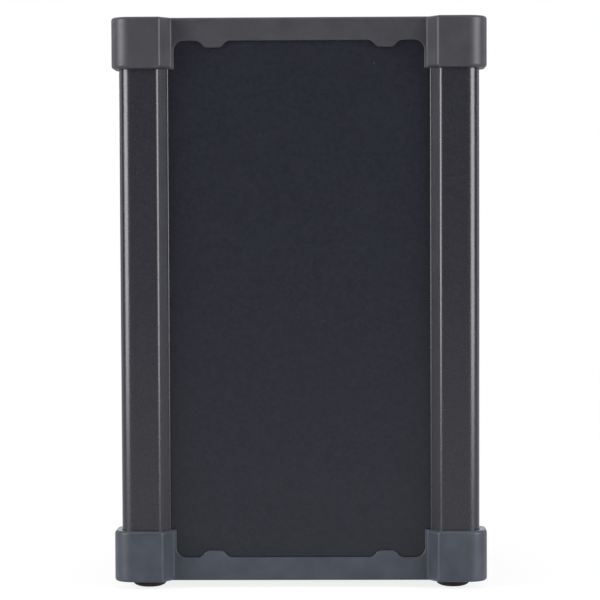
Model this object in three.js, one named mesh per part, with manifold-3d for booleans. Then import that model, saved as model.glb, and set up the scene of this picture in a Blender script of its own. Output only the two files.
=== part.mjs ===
// Cold spark machine: an upright stage effect machine in a post and panel case.
// Millimetres, +Z up, the front faces -Y, the origin is on the floor under the middle.

import * as THREE from 'three';
import { mergeVertices } from 'three/addons/utils/BufferGeometryUtils.js';
import Module from 'manifold-3d';

const wasm = await Module();
wasm.setup();

// Whole case
const machineWidth = 221.6;
const machineDepth = 221.6;
const caseHeight = 334;
const fitGap = 0.3;
const overrun = 1;

// Rubber feet
const footHeight = 4.5;
const footRadius = 10;
const footFlatRadius = 5.6;
const footBand = 0.6;
const footInset = 20;

// Corner posts
const postInset = 4.4;
const postRadius = 8;
const postFace = 22.5;
const postBevel = 6.7;
const postLip = 1.3;
const postWall = 1.8;
const postBoreRadius = 4.2;
const slotDepth = 7;

// Panels and plates
const panelThickness = 2;
const plateThickness = 2;

// Top and bottom caps
const capRadius = 12;
const capFace = 29.1;
const capBevel = 6.1;
const capEdge = 1.5;
const rimWall = 2.4;
const blockHeight = 30.5;
const blockSpan = 36.8;
const rimHeight = 13.8;
const legFillet = 5.8;
const tabRootWidth = 17.7;
const tabTipWidth = 10;
const tabDrop = 4;
const tabInset = 23;
const topWeb = 8;
const topFrameWidth = 20;
const topFrameRadius = 6;
const bottomWeb = 5;
const bottomFrameWidth = 34;
const bottomFrameRadius = 6;

// Ventilation slots
const ventLength = 76;
const ventWidth = 4;
const ventPitch = 10;
const sideVentRise = 36;
const sideVentCount = 6;
const baseVentCount = 5;

// Spark outlet and heating chamber
const outletDistance = 40.4;
const outletBoreRadius = 17;
const outletCollarRadius = 21;
const outletCollarHeight = 6.5;
const outletFlangeRadius = 28.5;
const outletFlangeThickness = 2.5;
const outletChamfer = 1.5;
const outletSpigotLength = 6;
const outletSpigotWall = 2;
const chamberBoreRadius = 15;
const chamberWall = 2;
const bandHeight = 42;
const bandThickness = 2.2;
const bandDrop = 14;
const jacketThickness = 12;
const jacketOverhang = 2;
const cutoutWidth = 12;
const cutoutDepth = 7;
const cutoutHeight = 16;
const cutoutDrop = 14;

// Filler mouth, lid and hopper
const fillerDistance = 20.6;
const fillerRadius = 24;
const collarThickness = 2;
const collarMargin = 1.2;
const collarLipHeight = 1;
const collarLipWidth = 2;
const collarCornerRadius = 4;
const lidWidth = 64;
const lidDepth = 58;
const lidThickness = 2.5;
const lidPullWidth = 20;
const lidPullDepth = 3;
const lidPullThickness = 1.5;
const knuckleRadius = 2.4;
const knuckleGap = 0.8;
const lidKnuckleLength = 24;
const collarKnuckleLength = 12;
const lidPinRadius = 1.1;
const lidPinClearance = 0.2;
const hopperFlangeRadius = 30;
const hopperWall = 1.5;
const hopperStraight = 18;
const hopperSpoutRadius = 5;
const hopperSpoutLength = 4;

// Granule feed
const feedDrop = 88.5;
const feedBoreRadius = 5.2;
const feedWall = 1.8;
const feedFlangeRadius = 14;
const feedFlangeThickness = 3;
const feedTail = 14;
const augerShaftRadius = 2;
const augerCouplingRadius = 3.8;
const augerCouplingLength = 8;
const augerClearance = 0.4;
const augerPitch = 9;
const augerFlightThickness = 1.2;
const augerTurns = 6;
const motorShaftRadius = 1.9;
const motorShaftClearance = 0.25;
const gearboxWidth = 24;
const gearboxLength = 14;
const motorRadius = 12;
const motorLength = 13;
const bracketWidth = 36;
const bracketThickness = 2;
const bracketFoot = 20;
const bracketRise = 16;
const bracketHoleRadius = 5;

// Deck and blower
const deckDrop = 218.5;
const deckThickness = 1.5;
const deckFlange = 12;
const deckMargin = 1;
const deckHoleWidth = 60;
const deckHoleDepth = 24;
const deckHoleDistance = 30;
const blowerRadius = 38;
const blowerWall = 2;
const blowerDepth = 36;
const blowerOutletWidth = 36;
const blowerStand = 2;
const blowerFootWidth = 44;
const blowerOutletRise = 14;
const blowerInletRadius = 20;
const blowerBossRadius = 12;
const blowerBossLength = 11;
const blowerShaftRadius = 2;
const blowerShaftLength = 15;
const impellerRadius = 31;
const impellerHubRadius = 8;
const impellerPlate = 1.5;
const impellerBladeDepth = 6;
const impellerBladeThickness = 1.3;
const impellerRingWidth = 5;
const impellerClearance = 0.8;
const impellerBladeCount = 12;
const impellerBladeAngle = 30;

// Power supply
const supplySideGap = 6;
const supplyDepth = 88;
const supplyHeight = 42;
const supplyFrontGap = 6;
const terminalWidth = 18;
const terminalHeight = 14;
const terminalMargin = 8;

// Control board and panel on the rear
const controlDrop = 76.5;
const bezelWidth = 112;
const bezelHeight = 44;
const bezelThickness = 1.6;
const bezelRadius = 3;
const displayWidth = 46;
const displayHeight = 24;
const displayOffset = 27;
const windowMargin = 2;
const moduleMargin = 4;
const standoffLength = 9;
const standoffRadius = 3;
const standoffMargin = 5;
const boardWidth = 104;
const boardHeight = 54;
const boardThickness = 1.6;
const switchSize = 6;
const switchHeight = 4;
const buttonRadius = 3.6;
const buttonPitch = 12;
const buttonOffset = 12;
const buttonProud = 1.8;
const buttonEdge = 0.6;
const buttonFlangeRadius = 5;
const buttonFlangeThickness = 1.5;
const buttonStemRadius = 2;
const buttonTravel = 1;

// Cooling fan on the rear
const fanSize = 80;
const fanDepth = 25;
const fanCornerRadius = 5;
const fanBoreRadius = 38;
const fanScrewPitch = 71.5;
const fanHubRadius = 16;
const fanHubClearance = 1;
const fanMountThickness = 3;
const fanStrutWidth = 4;
const fanShaftRadius = 2;
const fanShaftLength = 12;
const fanShaftClearance = 0.3;
const fanBladeWidth = 18;
const fanBladeThickness = 1.5;
const fanBladeAngle = 35;
const fanBladeCount = 7;
const fanTipClearance = 2;
const fanFaceClearance = 2.5;
const guardWire = 2;
const guardRingPitch = 12;
const guardRingCount = 3;
const guardEarRadius = 5;

// Sockets and switch along the bottom of the rear
const socketRise = 50;
const socketFlangeWidth = 26;
const socketFlangeHeight = 33;
const socketFlangeThickness = 2;
const socketFlangeRadius = 3;
const socketBarrelRadius = 11.8;
const socketBarrelLength = 20;
const socketCavityRadius = 9.4;
const socketCavityDepth = 14;
const inputPinRadius = 1.2;
const inputPinCircle = 5.4;
const inputPinLength = 12;
const outputCoreRadius = 7.6;
const outputHoleRadius = 1.5;
const outputHoleDepth = 11;
const latchWidth = 7;
const latchHeight = 2.4;
const latchRise = 13.6;
const latchProud = 2.6;
const latchLength = 9;
const latchStopWidth = 10;
const latchStopThickness = 1.5;
const inletFlangeWidth = 33;
const inletFlangeHeight = 26;
const inletFlangeThickness = 2.2;
const inletBodyWidth = 28;
const inletBodyHeight = 20.5;
const inletBodyDepth = 24;
const inletWall = 1.8;
const inletCavityDepth = 17;
const inletCornerRadius = 2;
const bladeThickness = 2;
const bladeHeight = 4;
const bladeLength = 13;
const bladeSpacing = 14;
const bladeDrop = 2;
const bladeRise = 4;
const rockerReach = 9.5;
const rockerWidth = 13;
const rockerPivotDepth = 1;
const rockerPinRadius = 1.5;
const rockerPinLength = 1.5;
const rockerFrameWall = 2.5;
const rockerFrameRim = 0.8;
const rockerFrameThickness = 2;
const rockerWellDepth = 9;
const rockerFloor = 2;
const rockerTilt = 8;
const rockerTopAngle = 24;
const rockerLowAngle = 15;

// Side handles
const handleDrop = 80.5;
const handlePlateMargin = 9.3;
const handlePlateHeight = 30;
const handlePlateThickness = 1.5;
const handlePlateRadius = 3;
const handleAxisOut = 5.1;
const lugThickness = 7;
const lugInset = 3.7;
const lugHeight = 12;
const lugCap = 1.1;
const bailDrop = 46;
const bailTop = 2.6;
const bailBar = 9;
const bailThickness = 5.2;
const bailEdge = 1.3;
const bailCornerRadius = 13;
const bailPinRadius = 2.2;
const bailPinLength = 5.5;
const bailPinClearance = 0.25;

// How finely round stretches are cut
const cornerSteps = 4;
const smallCornerSteps = 2;
const smallRoundSides = 10;
const roundSides = 20;
const wideRoundSides = 24;
const augerStepsPerTurn = 8;

// Places worked out from the sizes above
const halfWidth = machineWidth / 2;
const halfDepth = machineDepth / 2;
const topZ = footHeight + caseHeight;
const basePlateLow = footHeight + bottomWeb + fitGap;
const basePlateHigh = basePlateLow + plateThickness;
const topPlateHigh = topZ - topWeb - fitGap;
const topPlateLow = topPlateHigh - plateThickness;
const frameLow = basePlateHigh + fitGap;
const frameHigh = topPlateLow - fitGap;
const postFlatEnd = postInset + postFace;
const postBevelEnd = postFlatEnd + postBevel;
const postRecess = postInset + postBevel;
const lipBack = postRecess + postLip;
const panelFront = lipBack + fitGap;
const capRecess = panelFront - fitGap - rimWall;
const panelBack = panelFront + panelThickness;
const slotBack = panelBack + fitGap;
const postInner = slotBack + postWall;
const outletY = -outletDistance;
const fillerY = fillerDistance;
const deckHeight = topZ - deckDrop;
const deckTop = deckHeight + deckThickness;
const feedHeight = topZ - feedDrop;
const controlHeight = topZ - controlDrop;
const handleHeight = topZ - handleDrop;
const socketHeight = basePlateHigh + socketRise;
const fanHeight = (controlHeight - bezelHeight / 2 + socketHeight + socketFlangeHeight / 2) / 2;
const insideHalfWidth = halfWidth - panelBack - fitGap;

// Finishes
const postFinish = finish(0x35343a, 0.42, 0.7);
const panelFinish = finish(0x2b2c33, 0.6, 0.5);
const capFinish = finish(0x484b52, 0.5, 0.3);
const rubberFinish = finish(0x26272b, 0.85, 0);
const sheetFinish = finish(0x303138, 0.6, 0.5);
const steelFinish = finish(0xb9babd, 0.3, 1);
const blackPlasticFinish = finish(0x17181a, 0.5, 0);
const zincFinish = finish(0x9fa2a6, 0.45, 0.9);
const insulationFinish = finish(0xcfc9b8, 0.95, 0);
const boardFinish = finish(0x1d4a2c, 0.55, 0);
const windowFinish = finish(0x10161c, 0.1, 0);
const buttonFinish = finish(0xc9cbd0, 0.45, 0);
const rockerFinish = finish(0x8e1614, 0.4, 0);
const latchFinish = finish(0xb8babf, 0.35, 0.9);

const machine = new THREE.Group();

function finish(color, roughness, metalness) {
	return new THREE.MeshStandardMaterial({ color, roughness, metalness });
}

// A closed solid from a three.js geometry. A solid passes through unchanged.
function toSolid(item) {
	if (!item.isBufferGeometry) return item;
	const bare = item.clone();
	bare.deleteAttribute('normal');
	bare.deleteAttribute('uv');
	const merged = mergeVertices(bare);
	const index = merged.index.array;
	const kept = [];
	for (let i = 0; i < index.length; i += 3) {
		const [a, b, c] = [index[i], index[i + 1], index[i + 2]];
		if (a !== b && b !== c && c !== a) kept.push(a, b, c);
	}
	return new wasm.Manifold(new wasm.Mesh({
		numProp: 3,
		vertProperties: merged.attributes.position.array,
		triVerts: Uint32Array.from(kept),
	}));
}

function toGeometry(solid) {
	const mesh = solid.getMesh();
	const geometry = new THREE.BufferGeometry();
	geometry.setAttribute('position', new THREE.BufferAttribute(mesh.vertProperties, 3));
	geometry.setIndex(new THREE.BufferAttribute(mesh.triVerts, 1));
	geometry.computeVertexNormals();
	return geometry;
}

function join(...items) {
	let result = toSolid(items[0]);
	for (const item of items.slice(1)) result = result.add(toSolid(item));
	return result;
}

function cut(base, ...cutters) {
	let result = toSolid(base);
	for (const cutter of cutters) result = result.subtract(toSolid(cutter));
	return result;
}

function addPart(name, item, material, parent = machine) {
	const mesh = new THREE.Mesh(toGeometry(toSolid(item)), material);
	mesh.name = name;
	parent.add(mesh);
	return mesh;
}

function radians(degrees) {
	return THREE.MathUtils.degToRad(degrees);
}

// Points on an arc, both ends included
function arcPoints(centreX, centreY, radius, fromDegrees, toDegrees, steps = cornerSteps) {
	const points = [];
	for (let i = 0; i <= steps; i++) {
		const angle = radians(fromDegrees + (toDegrees - fromDegrees) * i / steps);
		points.push([centreX + radius * Math.cos(angle), centreY + radius * Math.sin(angle)]);
	}
	return points;
}

function shapeOf(points) {
	return new THREE.Shape(points.map(([x, y]) => new THREE.Vector2(x, y)));
}

function rectanglePoints(width, height, radius) {
	const right = width / 2 - radius;
	const top = height / 2 - radius;
	return [
		...arcPoints(right, top, radius, 0, 90, smallCornerSteps),
		...arcPoints(-right, top, radius, 90, 180, smallCornerSteps),
		...arcPoints(-right, -top, radius, 180, 270, smallCornerSteps),
		...arcPoints(right, -top, radius, 270, 360, smallCornerSteps),
	];
}

function slotPoints(length, width) {
	const end = (length - width) / 2;
	return [
		...arcPoints(end, 0, width / 2, -90, 90),
		...arcPoints(-end, 0, width / 2, 90, 270),
	];
}

function prism(points, low, high) {
	const geometry = new THREE.ExtrudeGeometry(shapeOf(points), { depth: high - low, bevelEnabled: false });
	return geometry.translate(0, 0, low);
}

function block(xLow, xHigh, yLow, yHigh, zLow, zHigh) {
	const geometry = new THREE.BoxGeometry(xHigh - xLow, yHigh - yLow, zHigh - zLow);
	return geometry.translate((xLow + xHigh) / 2, (yLow + yHigh) / 2, (zLow + zHigh) / 2);
}

// A block that is centred on x and y
function centredBlock(width, height, low, high) {
	return block(-width / 2, width / 2, -height / 2, height / 2, low, high);
}

function rod(radius, low, high, sides = roundSides) {
	const geometry = new THREE.CylinderGeometry(radius, radius, high - low, sides);
	return geometry.rotateX(Math.PI / 2).translate(0, 0, (low + high) / 2);
}

// A turned body about Z. The profile runs from the inside bottom, out, up and back in.
function turned(profile, sides = roundSides) {
	const points = profile.map(([radius, height]) => new THREE.Vector2(radius, height));
	return new THREE.LatheGeometry(points, sides).rotateX(Math.PI / 2);
}

function ringOf(innerRadius, outerRadius, low, high, sides = roundSides) {
	return turned([
		[innerRadius, low],
		[outerRadius, low],
		[outerRadius, high],
		[innerRadius, high],
		[innerRadius, low],
	], sides);
}

// Turn a body that was made along Z so that it runs along Y or along X
function alongY(geometry) {
	return geometry.rotateX(-Math.PI / 2);
}

function alongX(geometry) {
	return geometry.rotateY(Math.PI / 2);
}

// A group on one side of the case: x across, y up, z outwards from the panel's outer face
function sideGroup(turnDegrees, distance) {
	const group = new THREE.Group();
	const turn = radians(turnDegrees);
	group.rotation.set(Math.PI / 2, 0, turn, 'ZYX');
	group.position.set(distance * Math.sin(turn), -distance * Math.cos(turn), 0);
	machine.add(group);
	return group;
}

const frontSide = sideGroup(0, halfDepth - panelFront);
const rightSide = sideGroup(90, halfWidth - panelFront);
const rearSide = sideGroup(180, halfDepth - panelFront);
const leftSide = sideGroup(270, halfWidth - panelFront);

// One corner's outline, mirrored about its diagonal: in along one side, round, out along the other
function cornerPoints(inset, radius, frontPoints) {
	const centre = inset + radius;
	const sidePoints = frontPoints.map(([x, y]) => [y, x]).reverse();
	return [...sidePoints, ...arcPoints(centre, centre, radius, 180, 270), ...frontPoints];
}

// The same corner at all four corners of the case
function caseOutline(corner) {
	return [
		...corner.map(([u, v]) => [-halfWidth + u, -halfDepth + v]),
		...corner.map(([u, v]) => [halfWidth - v, -halfDepth + u]),
		...corner.map(([u, v]) => [halfWidth - u, halfDepth - v]),
		...corner.map(([u, v]) => [-halfWidth + v, halfDepth - u]),
	];
}

// Outline round the posts and panels, grown outwards by a clearance
function coreOutline(grow) {
	const slide = grow * Math.tan(Math.PI / 8);
	return caseOutline(cornerPoints(postInset - grow, postRadius + grow, [
		[postFlatEnd + slide, postInset - grow],
		[postBevelEnd + slide, postRecess - grow],
		[postBevelEnd + grow, panelFront - grow],
	]));
}

function capOutline() {
	return caseOutline(cornerPoints(0, capRadius, [
		[capFace, 0],
		[capFace + capBevel, capRecess],
	]));
}

// The opening under a cap's rim between two corner blocks, with its fillets and its two tabs left
function rimWindow(halfSpan, reach) {
	const rimEdge = blockHeight - rimHeight;
	const side = halfSpan - blockSpan;
	const tab = (centre) => [
		[centre + tabRootWidth / 2, rimEdge],
		[centre + tabTipWidth / 2, rimEdge - tabDrop],
		[centre - tabTipWidth / 2, rimEdge - tabDrop],
		[centre - tabRootWidth / 2, rimEdge],
	];
	const points = [
		[-side, -overrun],
		[side, -overrun],
		...arcPoints(side - legFillet, rimEdge - legFillet, legFillet, 0, 90),
		...tab(side - tabInset),
		...tab(tabInset - side),
		...arcPoints(legFillet - side, rimEdge - legFillet, legFillet, 90, 180),
	];
	return prism(points, -reach - overrun, reach + overrun).rotateX(Math.PI / 2);
}

// A cap that stands on its corner blocks, with its outer face up at the block height
function capSolid(web, frameWidth, frameRadius) {
	const body = new THREE.ExtrudeGeometry(shapeOf(capOutline()), {
		depth: blockHeight - 2 * capEdge,
		bevelEnabled: true,
		bevelSegments: 2,
		bevelSize: capEdge,
		bevelThickness: capEdge,
		bevelOffset: -capEdge,
	}).translate(0, 0, capEdge);
	const pocket = prism(coreOutline(fitGap), -overrun, blockHeight - web);
	const openingWidth = machineWidth - 2 * frameWidth;
	const openingDepth = machineDepth - 2 * frameWidth;
	const opening = prism(
		rectanglePoints(openingWidth, openingDepth, frameRadius),
		blockHeight - web - overrun,
		blockHeight + overrun,
	);
	const frontWindow = rimWindow(halfWidth, halfDepth);
	const sideWindow = rimWindow(halfDepth, halfWidth).rotateZ(Math.PI / 2);
	return cut(body, pocket, opening, frontWindow, sideWindow);
}

function addCaps() {
	const topSolid = capSolid(topWeb, topFrameWidth, topFrameRadius);
	const bottomSolid = capSolid(bottomWeb, bottomFrameWidth, bottomFrameRadius);
	const topCap = addPart('top_cap', topSolid, capFinish);
	topCap.position.z = topZ - blockHeight;
	const bottomCap = addPart('bottom_cap', bottomSolid, capFinish);
	bottomCap.rotation.x = Math.PI;
	bottomCap.position.z = footHeight + blockHeight;
}

function addPosts() {
	const slotBottom = postBevelEnd - slotDepth;
	const outline = cornerPoints(postInset, postRadius, [
		[postFlatEnd, postInset],
		[postBevelEnd, postRecess],
		[postBevelEnd, lipBack],
		[slotBottom, lipBack],
		[slotBottom, slotBack],
		[postBevelEnd, slotBack],
		[postBevelEnd, postInner],
	]);
	outline.push([postInner, postInner]);
	const centre = postInset + postRadius;
	const bore = rod(postBoreRadius, frameLow - overrun, frameHigh + overrun, smallRoundSides);
	bore.translate(centre, centre, 0);
	const post = toGeometry(cut(prism(outline, frameLow, frameHigh), bore));
	const corners = [
		['corner_post_front_left', -halfWidth, -halfDepth, 0],
		['corner_post_front_right', halfWidth, -halfDepth, 90],
		['corner_post_rear_right', halfWidth, halfDepth, 180],
		['corner_post_rear_left', -halfWidth, halfDepth, 270],
	];
	for (const [name, x, y, turn] of corners) {
		const mesh = addPart(name, post, postFinish);
		mesh.position.set(x, y, 0);
		mesh.rotation.z = radians(turn);
	}
}

function addFeet() {
	const footTop = footHeight - fitGap;
	const bandLow = footTop - footBand;
	const dome = [];
	for (let i = 0; i <= cornerSteps; i++) {
		const angle = radians(90 * i / cornerSteps);
		const radius = footFlatRadius + (footRadius - footFlatRadius) * Math.sin(angle);
		dome.push([radius, bandLow * (1 - Math.cos(angle))]);
	}
	const foot = turned([[0, 0], ...dome, [footRadius, footTop], [0, footTop]]);
	const footX = halfWidth - footInset;
	const footY = halfDepth - footInset;
	addPart('foot_front_left', foot, rubberFinish).position.set(-footX, -footY, 0);
	addPart('foot_front_right', foot, rubberFinish).position.set(footX, -footY, 0);
	addPart('foot_rear_left', foot, rubberFinish).position.set(-footX, footY, 0);
	addPart('foot_rear_right', foot, rubberFinish).position.set(footX, footY, 0);
}

// A panel that fills the slots of the two posts beside it, from the base plate to the top plate
function panelBlank(halfSpan) {
	const reach = halfSpan - postBevelEnd + slotDepth - fitGap;
	return block(-reach, reach, frameLow, frameHigh, -panelThickness, 0);
}

// Rows of slots, stacked upwards in the xy plane from a first height
function ventRows(count, firstHeight, low, high) {
	const rows = [];
	for (let i = 0; i < count; i++) {
		const row = prism(slotPoints(ventLength, ventWidth), low, high);
		rows.push(row.translate(0, firstHeight + i * ventPitch, 0));
	}
	return rows;
}

function addPlainPanels() {
	const firstRow = basePlateHigh + sideVentRise;
	const vents = () => ventRows(sideVentCount, firstRow, -panelThickness - overrun, overrun);
	addPart('front_panel', panelBlank(halfWidth), panelFinish, frontSide);
	addPart('right_panel', cut(panelBlank(halfDepth), ...vents()), panelFinish, rightSide);
	addPart('left_panel', cut(panelBlank(halfDepth), ...vents()), panelFinish, leftSide);
}

// A hole through a side panel, in that side's own frame
function panelHole(points, across, height) {
	return prism(points, -panelThickness - overrun, overrun).translate(across, height, 0);
}

// The devices in the rear's bottom row, spread evenly between the posts
function rowPlaces() {
	const rockerFlangeWidth = rockerBodySize()[0] + 2 * rockerFrameRim;
	const widths = [inletFlangeWidth, rockerFlangeWidth, socketFlangeWidth, socketFlangeWidth];
	const rowWidth = machineWidth - 2 * postBevelEnd;
	const space = (rowWidth - widths.reduce((sum, width) => sum + width, 0)) / (widths.length + 1);
	let across = -rowWidth / 2;
	const places = [];
	for (const width of widths) {
		places.push(across + space + width / 2);
		across += space + width;
	}
	return places;
}

const [inletAcross, rockerAcross, dataOutputAcross, dataInputAcross] = rowPlaces();

function addRearPanel() {
	const circle = (radius, sides) => arcPoints(0, 0, radius, 0, 360 * (sides - 1) / sides, sides - 1);
	const fitted = (width, height, radius) => rectanglePoints(width + 2 * fitGap, height + 2 * fitGap, radius);
	const barrelHole = circle(socketBarrelRadius + fitGap, roundSides);
	const latchHole = fitted(latchStopWidth, latchHeight, fitGap);
	const inletHole = fitted(inletBodyWidth, inletBodyHeight, inletCornerRadius);
	const rockerHole = fitted(...rockerBodySize(), fitGap);
	const displayHole = rectanglePoints(displayWidth, displayHeight, bezelRadius);
	const buttonHole = circle(buttonRadius + fitGap, smallRoundSides);
	const holes = [
		panelHole(circle(fanBoreRadius, wideRoundSides), 0, fanHeight),
		panelHole(barrelHole, dataInputAcross, socketHeight),
		panelHole(barrelHole, dataOutputAcross, socketHeight),
		panelHole(latchHole, dataOutputAcross, socketHeight + latchRise),
		panelHole(inletHole, inletAcross, socketHeight),
		panelHole(rockerHole, rockerAcross, socketHeight),
		panelHole(displayHole, -displayOffset, controlHeight),
		...buttonPlaces().map((across) => panelHole(buttonHole, across, controlHeight)),
	];
	addPart('rear_panel', cut(panelBlank(halfWidth), ...holes), panelFinish, rearSide);
}

function addPlates() {
	const topBlank = prism(coreOutline(0), topPlateLow, topPlateHigh);
	const outletHoleRadius = outletBoreRadius + outletSpigotWall + fitGap;
	const outletHole = rod(outletHoleRadius, topPlateLow - overrun, topPlateHigh + overrun, wideRoundSides);
	const fillerHole = rod(fillerRadius, topPlateLow - overrun, topPlateHigh + overrun);
	outletHole.translate(0, outletY, 0);
	fillerHole.translate(0, fillerY, 0);
	addPart('top_plate', cut(topBlank, outletHole, fillerHole), sheetFinish);

	const baseBlank = prism(coreOutline(0), basePlateLow, basePlateHigh);
	const firstRow = -ventPitch * (baseVentCount - 1) / 2;
	const vents = ventRows(baseVentCount, firstRow, basePlateLow - overrun, basePlateHigh + overrun);
	addPart('base_plate', cut(baseBlank, ...vents), sheetFinish);
}

// Spark outlet: a ring screwed on the top plate, over the heating chamber's tube

const outletSpigotLow = topPlateLow - outletSpigotLength;
const chamberHigh = outletSpigotLow - fitGap;
const chamberOuterRadius = chamberBoreRadius + chamberWall;
const blowerCentreZ = deckTop + fitGap + blowerStand + blowerRadius;
const blowerOutletTop = blowerCentreZ + blowerRadius + blowerOutletRise;
const chamberLow = blowerOutletTop + fitGap;
const bandHigh = chamberHigh - bandDrop;
const bandLow = bandHigh - bandHeight;

function addOutlet() {
	const flangeLow = topPlateHigh + fitGap;
	const flangeHigh = flangeLow + outletFlangeThickness;
	const collarHigh = flangeLow + outletCollarHeight;
	const spigotRadius = outletBoreRadius + outletSpigotWall;
	const ring = turned([
		[outletBoreRadius, outletSpigotLow],
		[spigotRadius, outletSpigotLow],
		[spigotRadius, flangeLow],
		[outletFlangeRadius, flangeLow],
		[outletFlangeRadius, flangeHigh],
		[outletCollarRadius, flangeHigh],
		[outletCollarRadius, collarHigh - outletChamfer],
		[outletCollarRadius - outletChamfer, collarHigh],
		[outletBoreRadius + outletChamfer, collarHigh],
		[outletBoreRadius, collarHigh - outletChamfer],
		[outletBoreRadius, outletSpigotLow],
	], wideRoundSides);
	addPart('outlet_ring', ring, steelFinish).position.y = outletY;
}

function addChamber() {
	const tube = ringOf(chamberBoreRadius, chamberOuterRadius, chamberLow, chamberHigh);
	const feedHole = alongY(rod(feedBoreRadius, 0, chamberOuterRadius + overrun, smallRoundSides));
	feedHole.translate(0, 0, feedHeight);
	const bandInner = chamberOuterRadius + fitGap;
	const bandOuter = bandInner + bandThickness;
	const jacketInner = bandOuter + fitGap;
	const jacketOuter = jacketInner + jacketThickness;
	const jacketLow = bandLow - jacketOverhang;
	const jacketHigh = bandHigh + jacketOverhang;
	const cutoutBack = -chamberOuterRadius - fitGap;
	const cutoutHigh = bandLow - cutoutDrop;
	const cutout = block(
		-cutoutWidth / 2, cutoutWidth / 2,
		cutoutBack - cutoutDepth, cutoutBack,
		cutoutHigh - cutoutHeight, cutoutHigh,
	);
	addPart('chamber_tube', cut(tube, feedHole), steelFinish).position.y = outletY;
	addPart('heater_band', ringOf(bandInner, bandOuter, bandLow, bandHigh), zincFinish).position.y = outletY;
	const jacket = ringOf(jacketInner, jacketOuter, jacketLow, jacketHigh);
	addPart('insulation_jacket', jacket, insulationFinish).position.y = outletY;
	addPart('thermal_cutout', cutout, blackPlasticFinish).position.y = outletY;
}

// Filler mouth: a collar on the top plate, a lid hinged behind it and a hopper hung below

const collarLow = topPlateHigh + fitGap;
const collarHigh = collarLow + collarThickness;
const lidLow = collarHigh + collarLipHeight + fitGap;
const lidHigh = lidLow + lidThickness;
const lidFrontY = fillerY - lidDepth / 2;
const lidRearY = fillerY + lidDepth / 2;
const lidAxisY = lidRearY + knuckleGap + knuckleRadius;
const lidAxisZ = collarHigh + fitGap + knuckleRadius;

// A round bar along the lid's hinge axis
function hingeBar(radius, xLow, xHigh) {
	return alongX(rod(radius, xLow, xHigh, smallRoundSides)).translate(0, lidAxisY, lidAxisZ);
}

function addFillerCollar() {
	const rear = lidAxisY + knuckleRadius + collarMargin;
	const front = lidFrontY - collarMargin;
	const plate = prism(
		rectanglePoints(lidWidth + 2 * collarMargin, rear - front, collarCornerRadius),
		collarLow,
		collarHigh,
	).translate(0, (rear + front) / 2, 0);
	const lipRadius = fillerRadius + collarLipWidth;
	const lip = rod(lipRadius, collarLow, collarHigh + collarLipHeight).translate(0, fillerY, 0);
	const knuckleStart = lidKnuckleLength / 2 + fitGap;
	const knuckleEnd = knuckleStart + collarKnuckleLength;
	const knuckles = [];
	const frontY = lidAxisY - knuckleRadius;
	const rearY = lidAxisY + knuckleRadius;
	for (const [xLow, xHigh] of [[knuckleStart, knuckleEnd], [-knuckleEnd, -knuckleStart]]) {
		knuckles.push(hingeBar(knuckleRadius, xLow, xHigh));
		knuckles.push(block(xLow, xHigh, frontY, rearY, collarLow, lidAxisZ));
	}
	const mouth = rod(fillerRadius, collarLow - overrun, lidHigh).translate(0, fillerY, 0);
	const pinHole = hingeBar(lidPinRadius + lidPinClearance, -knuckleEnd - overrun, knuckleEnd + overrun);
	addPart('filler_collar', cut(join(plate, lip, ...knuckles), mouth, pinHole), steelFinish);
	addPart('lid_hinge_pin', hingeBar(lidPinRadius, -knuckleEnd, knuckleEnd), steelFinish);
}

function addFillerLid() {
	const plate = prism(rectanglePoints(lidWidth, lidDepth, collarCornerRadius), lidLow, lidHigh);
	plate.translate(0, fillerY, 0);
	const pull = block(
		-lidPullWidth / 2, lidPullWidth / 2,
		lidFrontY - lidPullDepth, lidFrontY + lidThickness,
		lidHigh - lidPullThickness, lidHigh,
	);
	const halfKnuckle = lidKnuckleLength / 2;
	const knuckle = hingeBar(knuckleRadius, -halfKnuckle, halfKnuckle);
	const arm = block(-halfKnuckle, halfKnuckle, lidRearY - lidThickness, lidAxisY, lidLow, lidHigh);
	const pinHole = hingeBar(lidPinRadius + lidPinClearance, -halfKnuckle - overrun, halfKnuckle + overrun);
	addPart('filler_lid', cut(join(plate, pull, knuckle, arm), pinHole), capFinish);
}

function addHopper() {
	const high = topPlateLow - fitGap;
	const low = feedHeight + feedBoreRadius + feedWall + fitGap;
	const coneHigh = high - hopperStraight;
	const coneLow = low + hopperSpoutLength;
	const outer = fillerRadius + hopperWall;
	const spoutOuter = hopperSpoutRadius + hopperWall;
	const hopper = turned([
		[hopperSpoutRadius, low],
		[spoutOuter, low],
		[spoutOuter, coneLow],
		[outer, coneHigh],
		[outer, high - hopperWall],
		[hopperFlangeRadius, high - hopperWall],
		[hopperFlangeRadius, high],
		[fillerRadius, high],
		[fillerRadius, coneHigh],
		[hopperSpoutRadius, coneLow],
		[hopperSpoutRadius, low],
	]);
	addPart('hopper', hopper, steelFinish).position.y = fillerY;
}

// Granule feed: a tube with a turning auger, from under the hopper into the chamber

const feedTubeRadius = feedBoreRadius + feedWall;
const feedTailY = fillerY + feedTail;
const bracketLowY = feedTailY + fitGap;
const bracketHighY = bracketLowY + bracketThickness;
const gearboxLowY = bracketHighY + fitGap;
const augerFrontY = outletY + chamberOuterRadius + fitGap;
const augerRearY = feedTailY - fitGap;
const augerRadius = feedBoreRadius - augerClearance;

// A round bar along the feed's axis
function feedBar(radius, yLow, yHigh, sides = smallRoundSides) {
	return alongY(rod(radius, yLow, yHigh, sides)).translate(0, 0, feedHeight);
}

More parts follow.
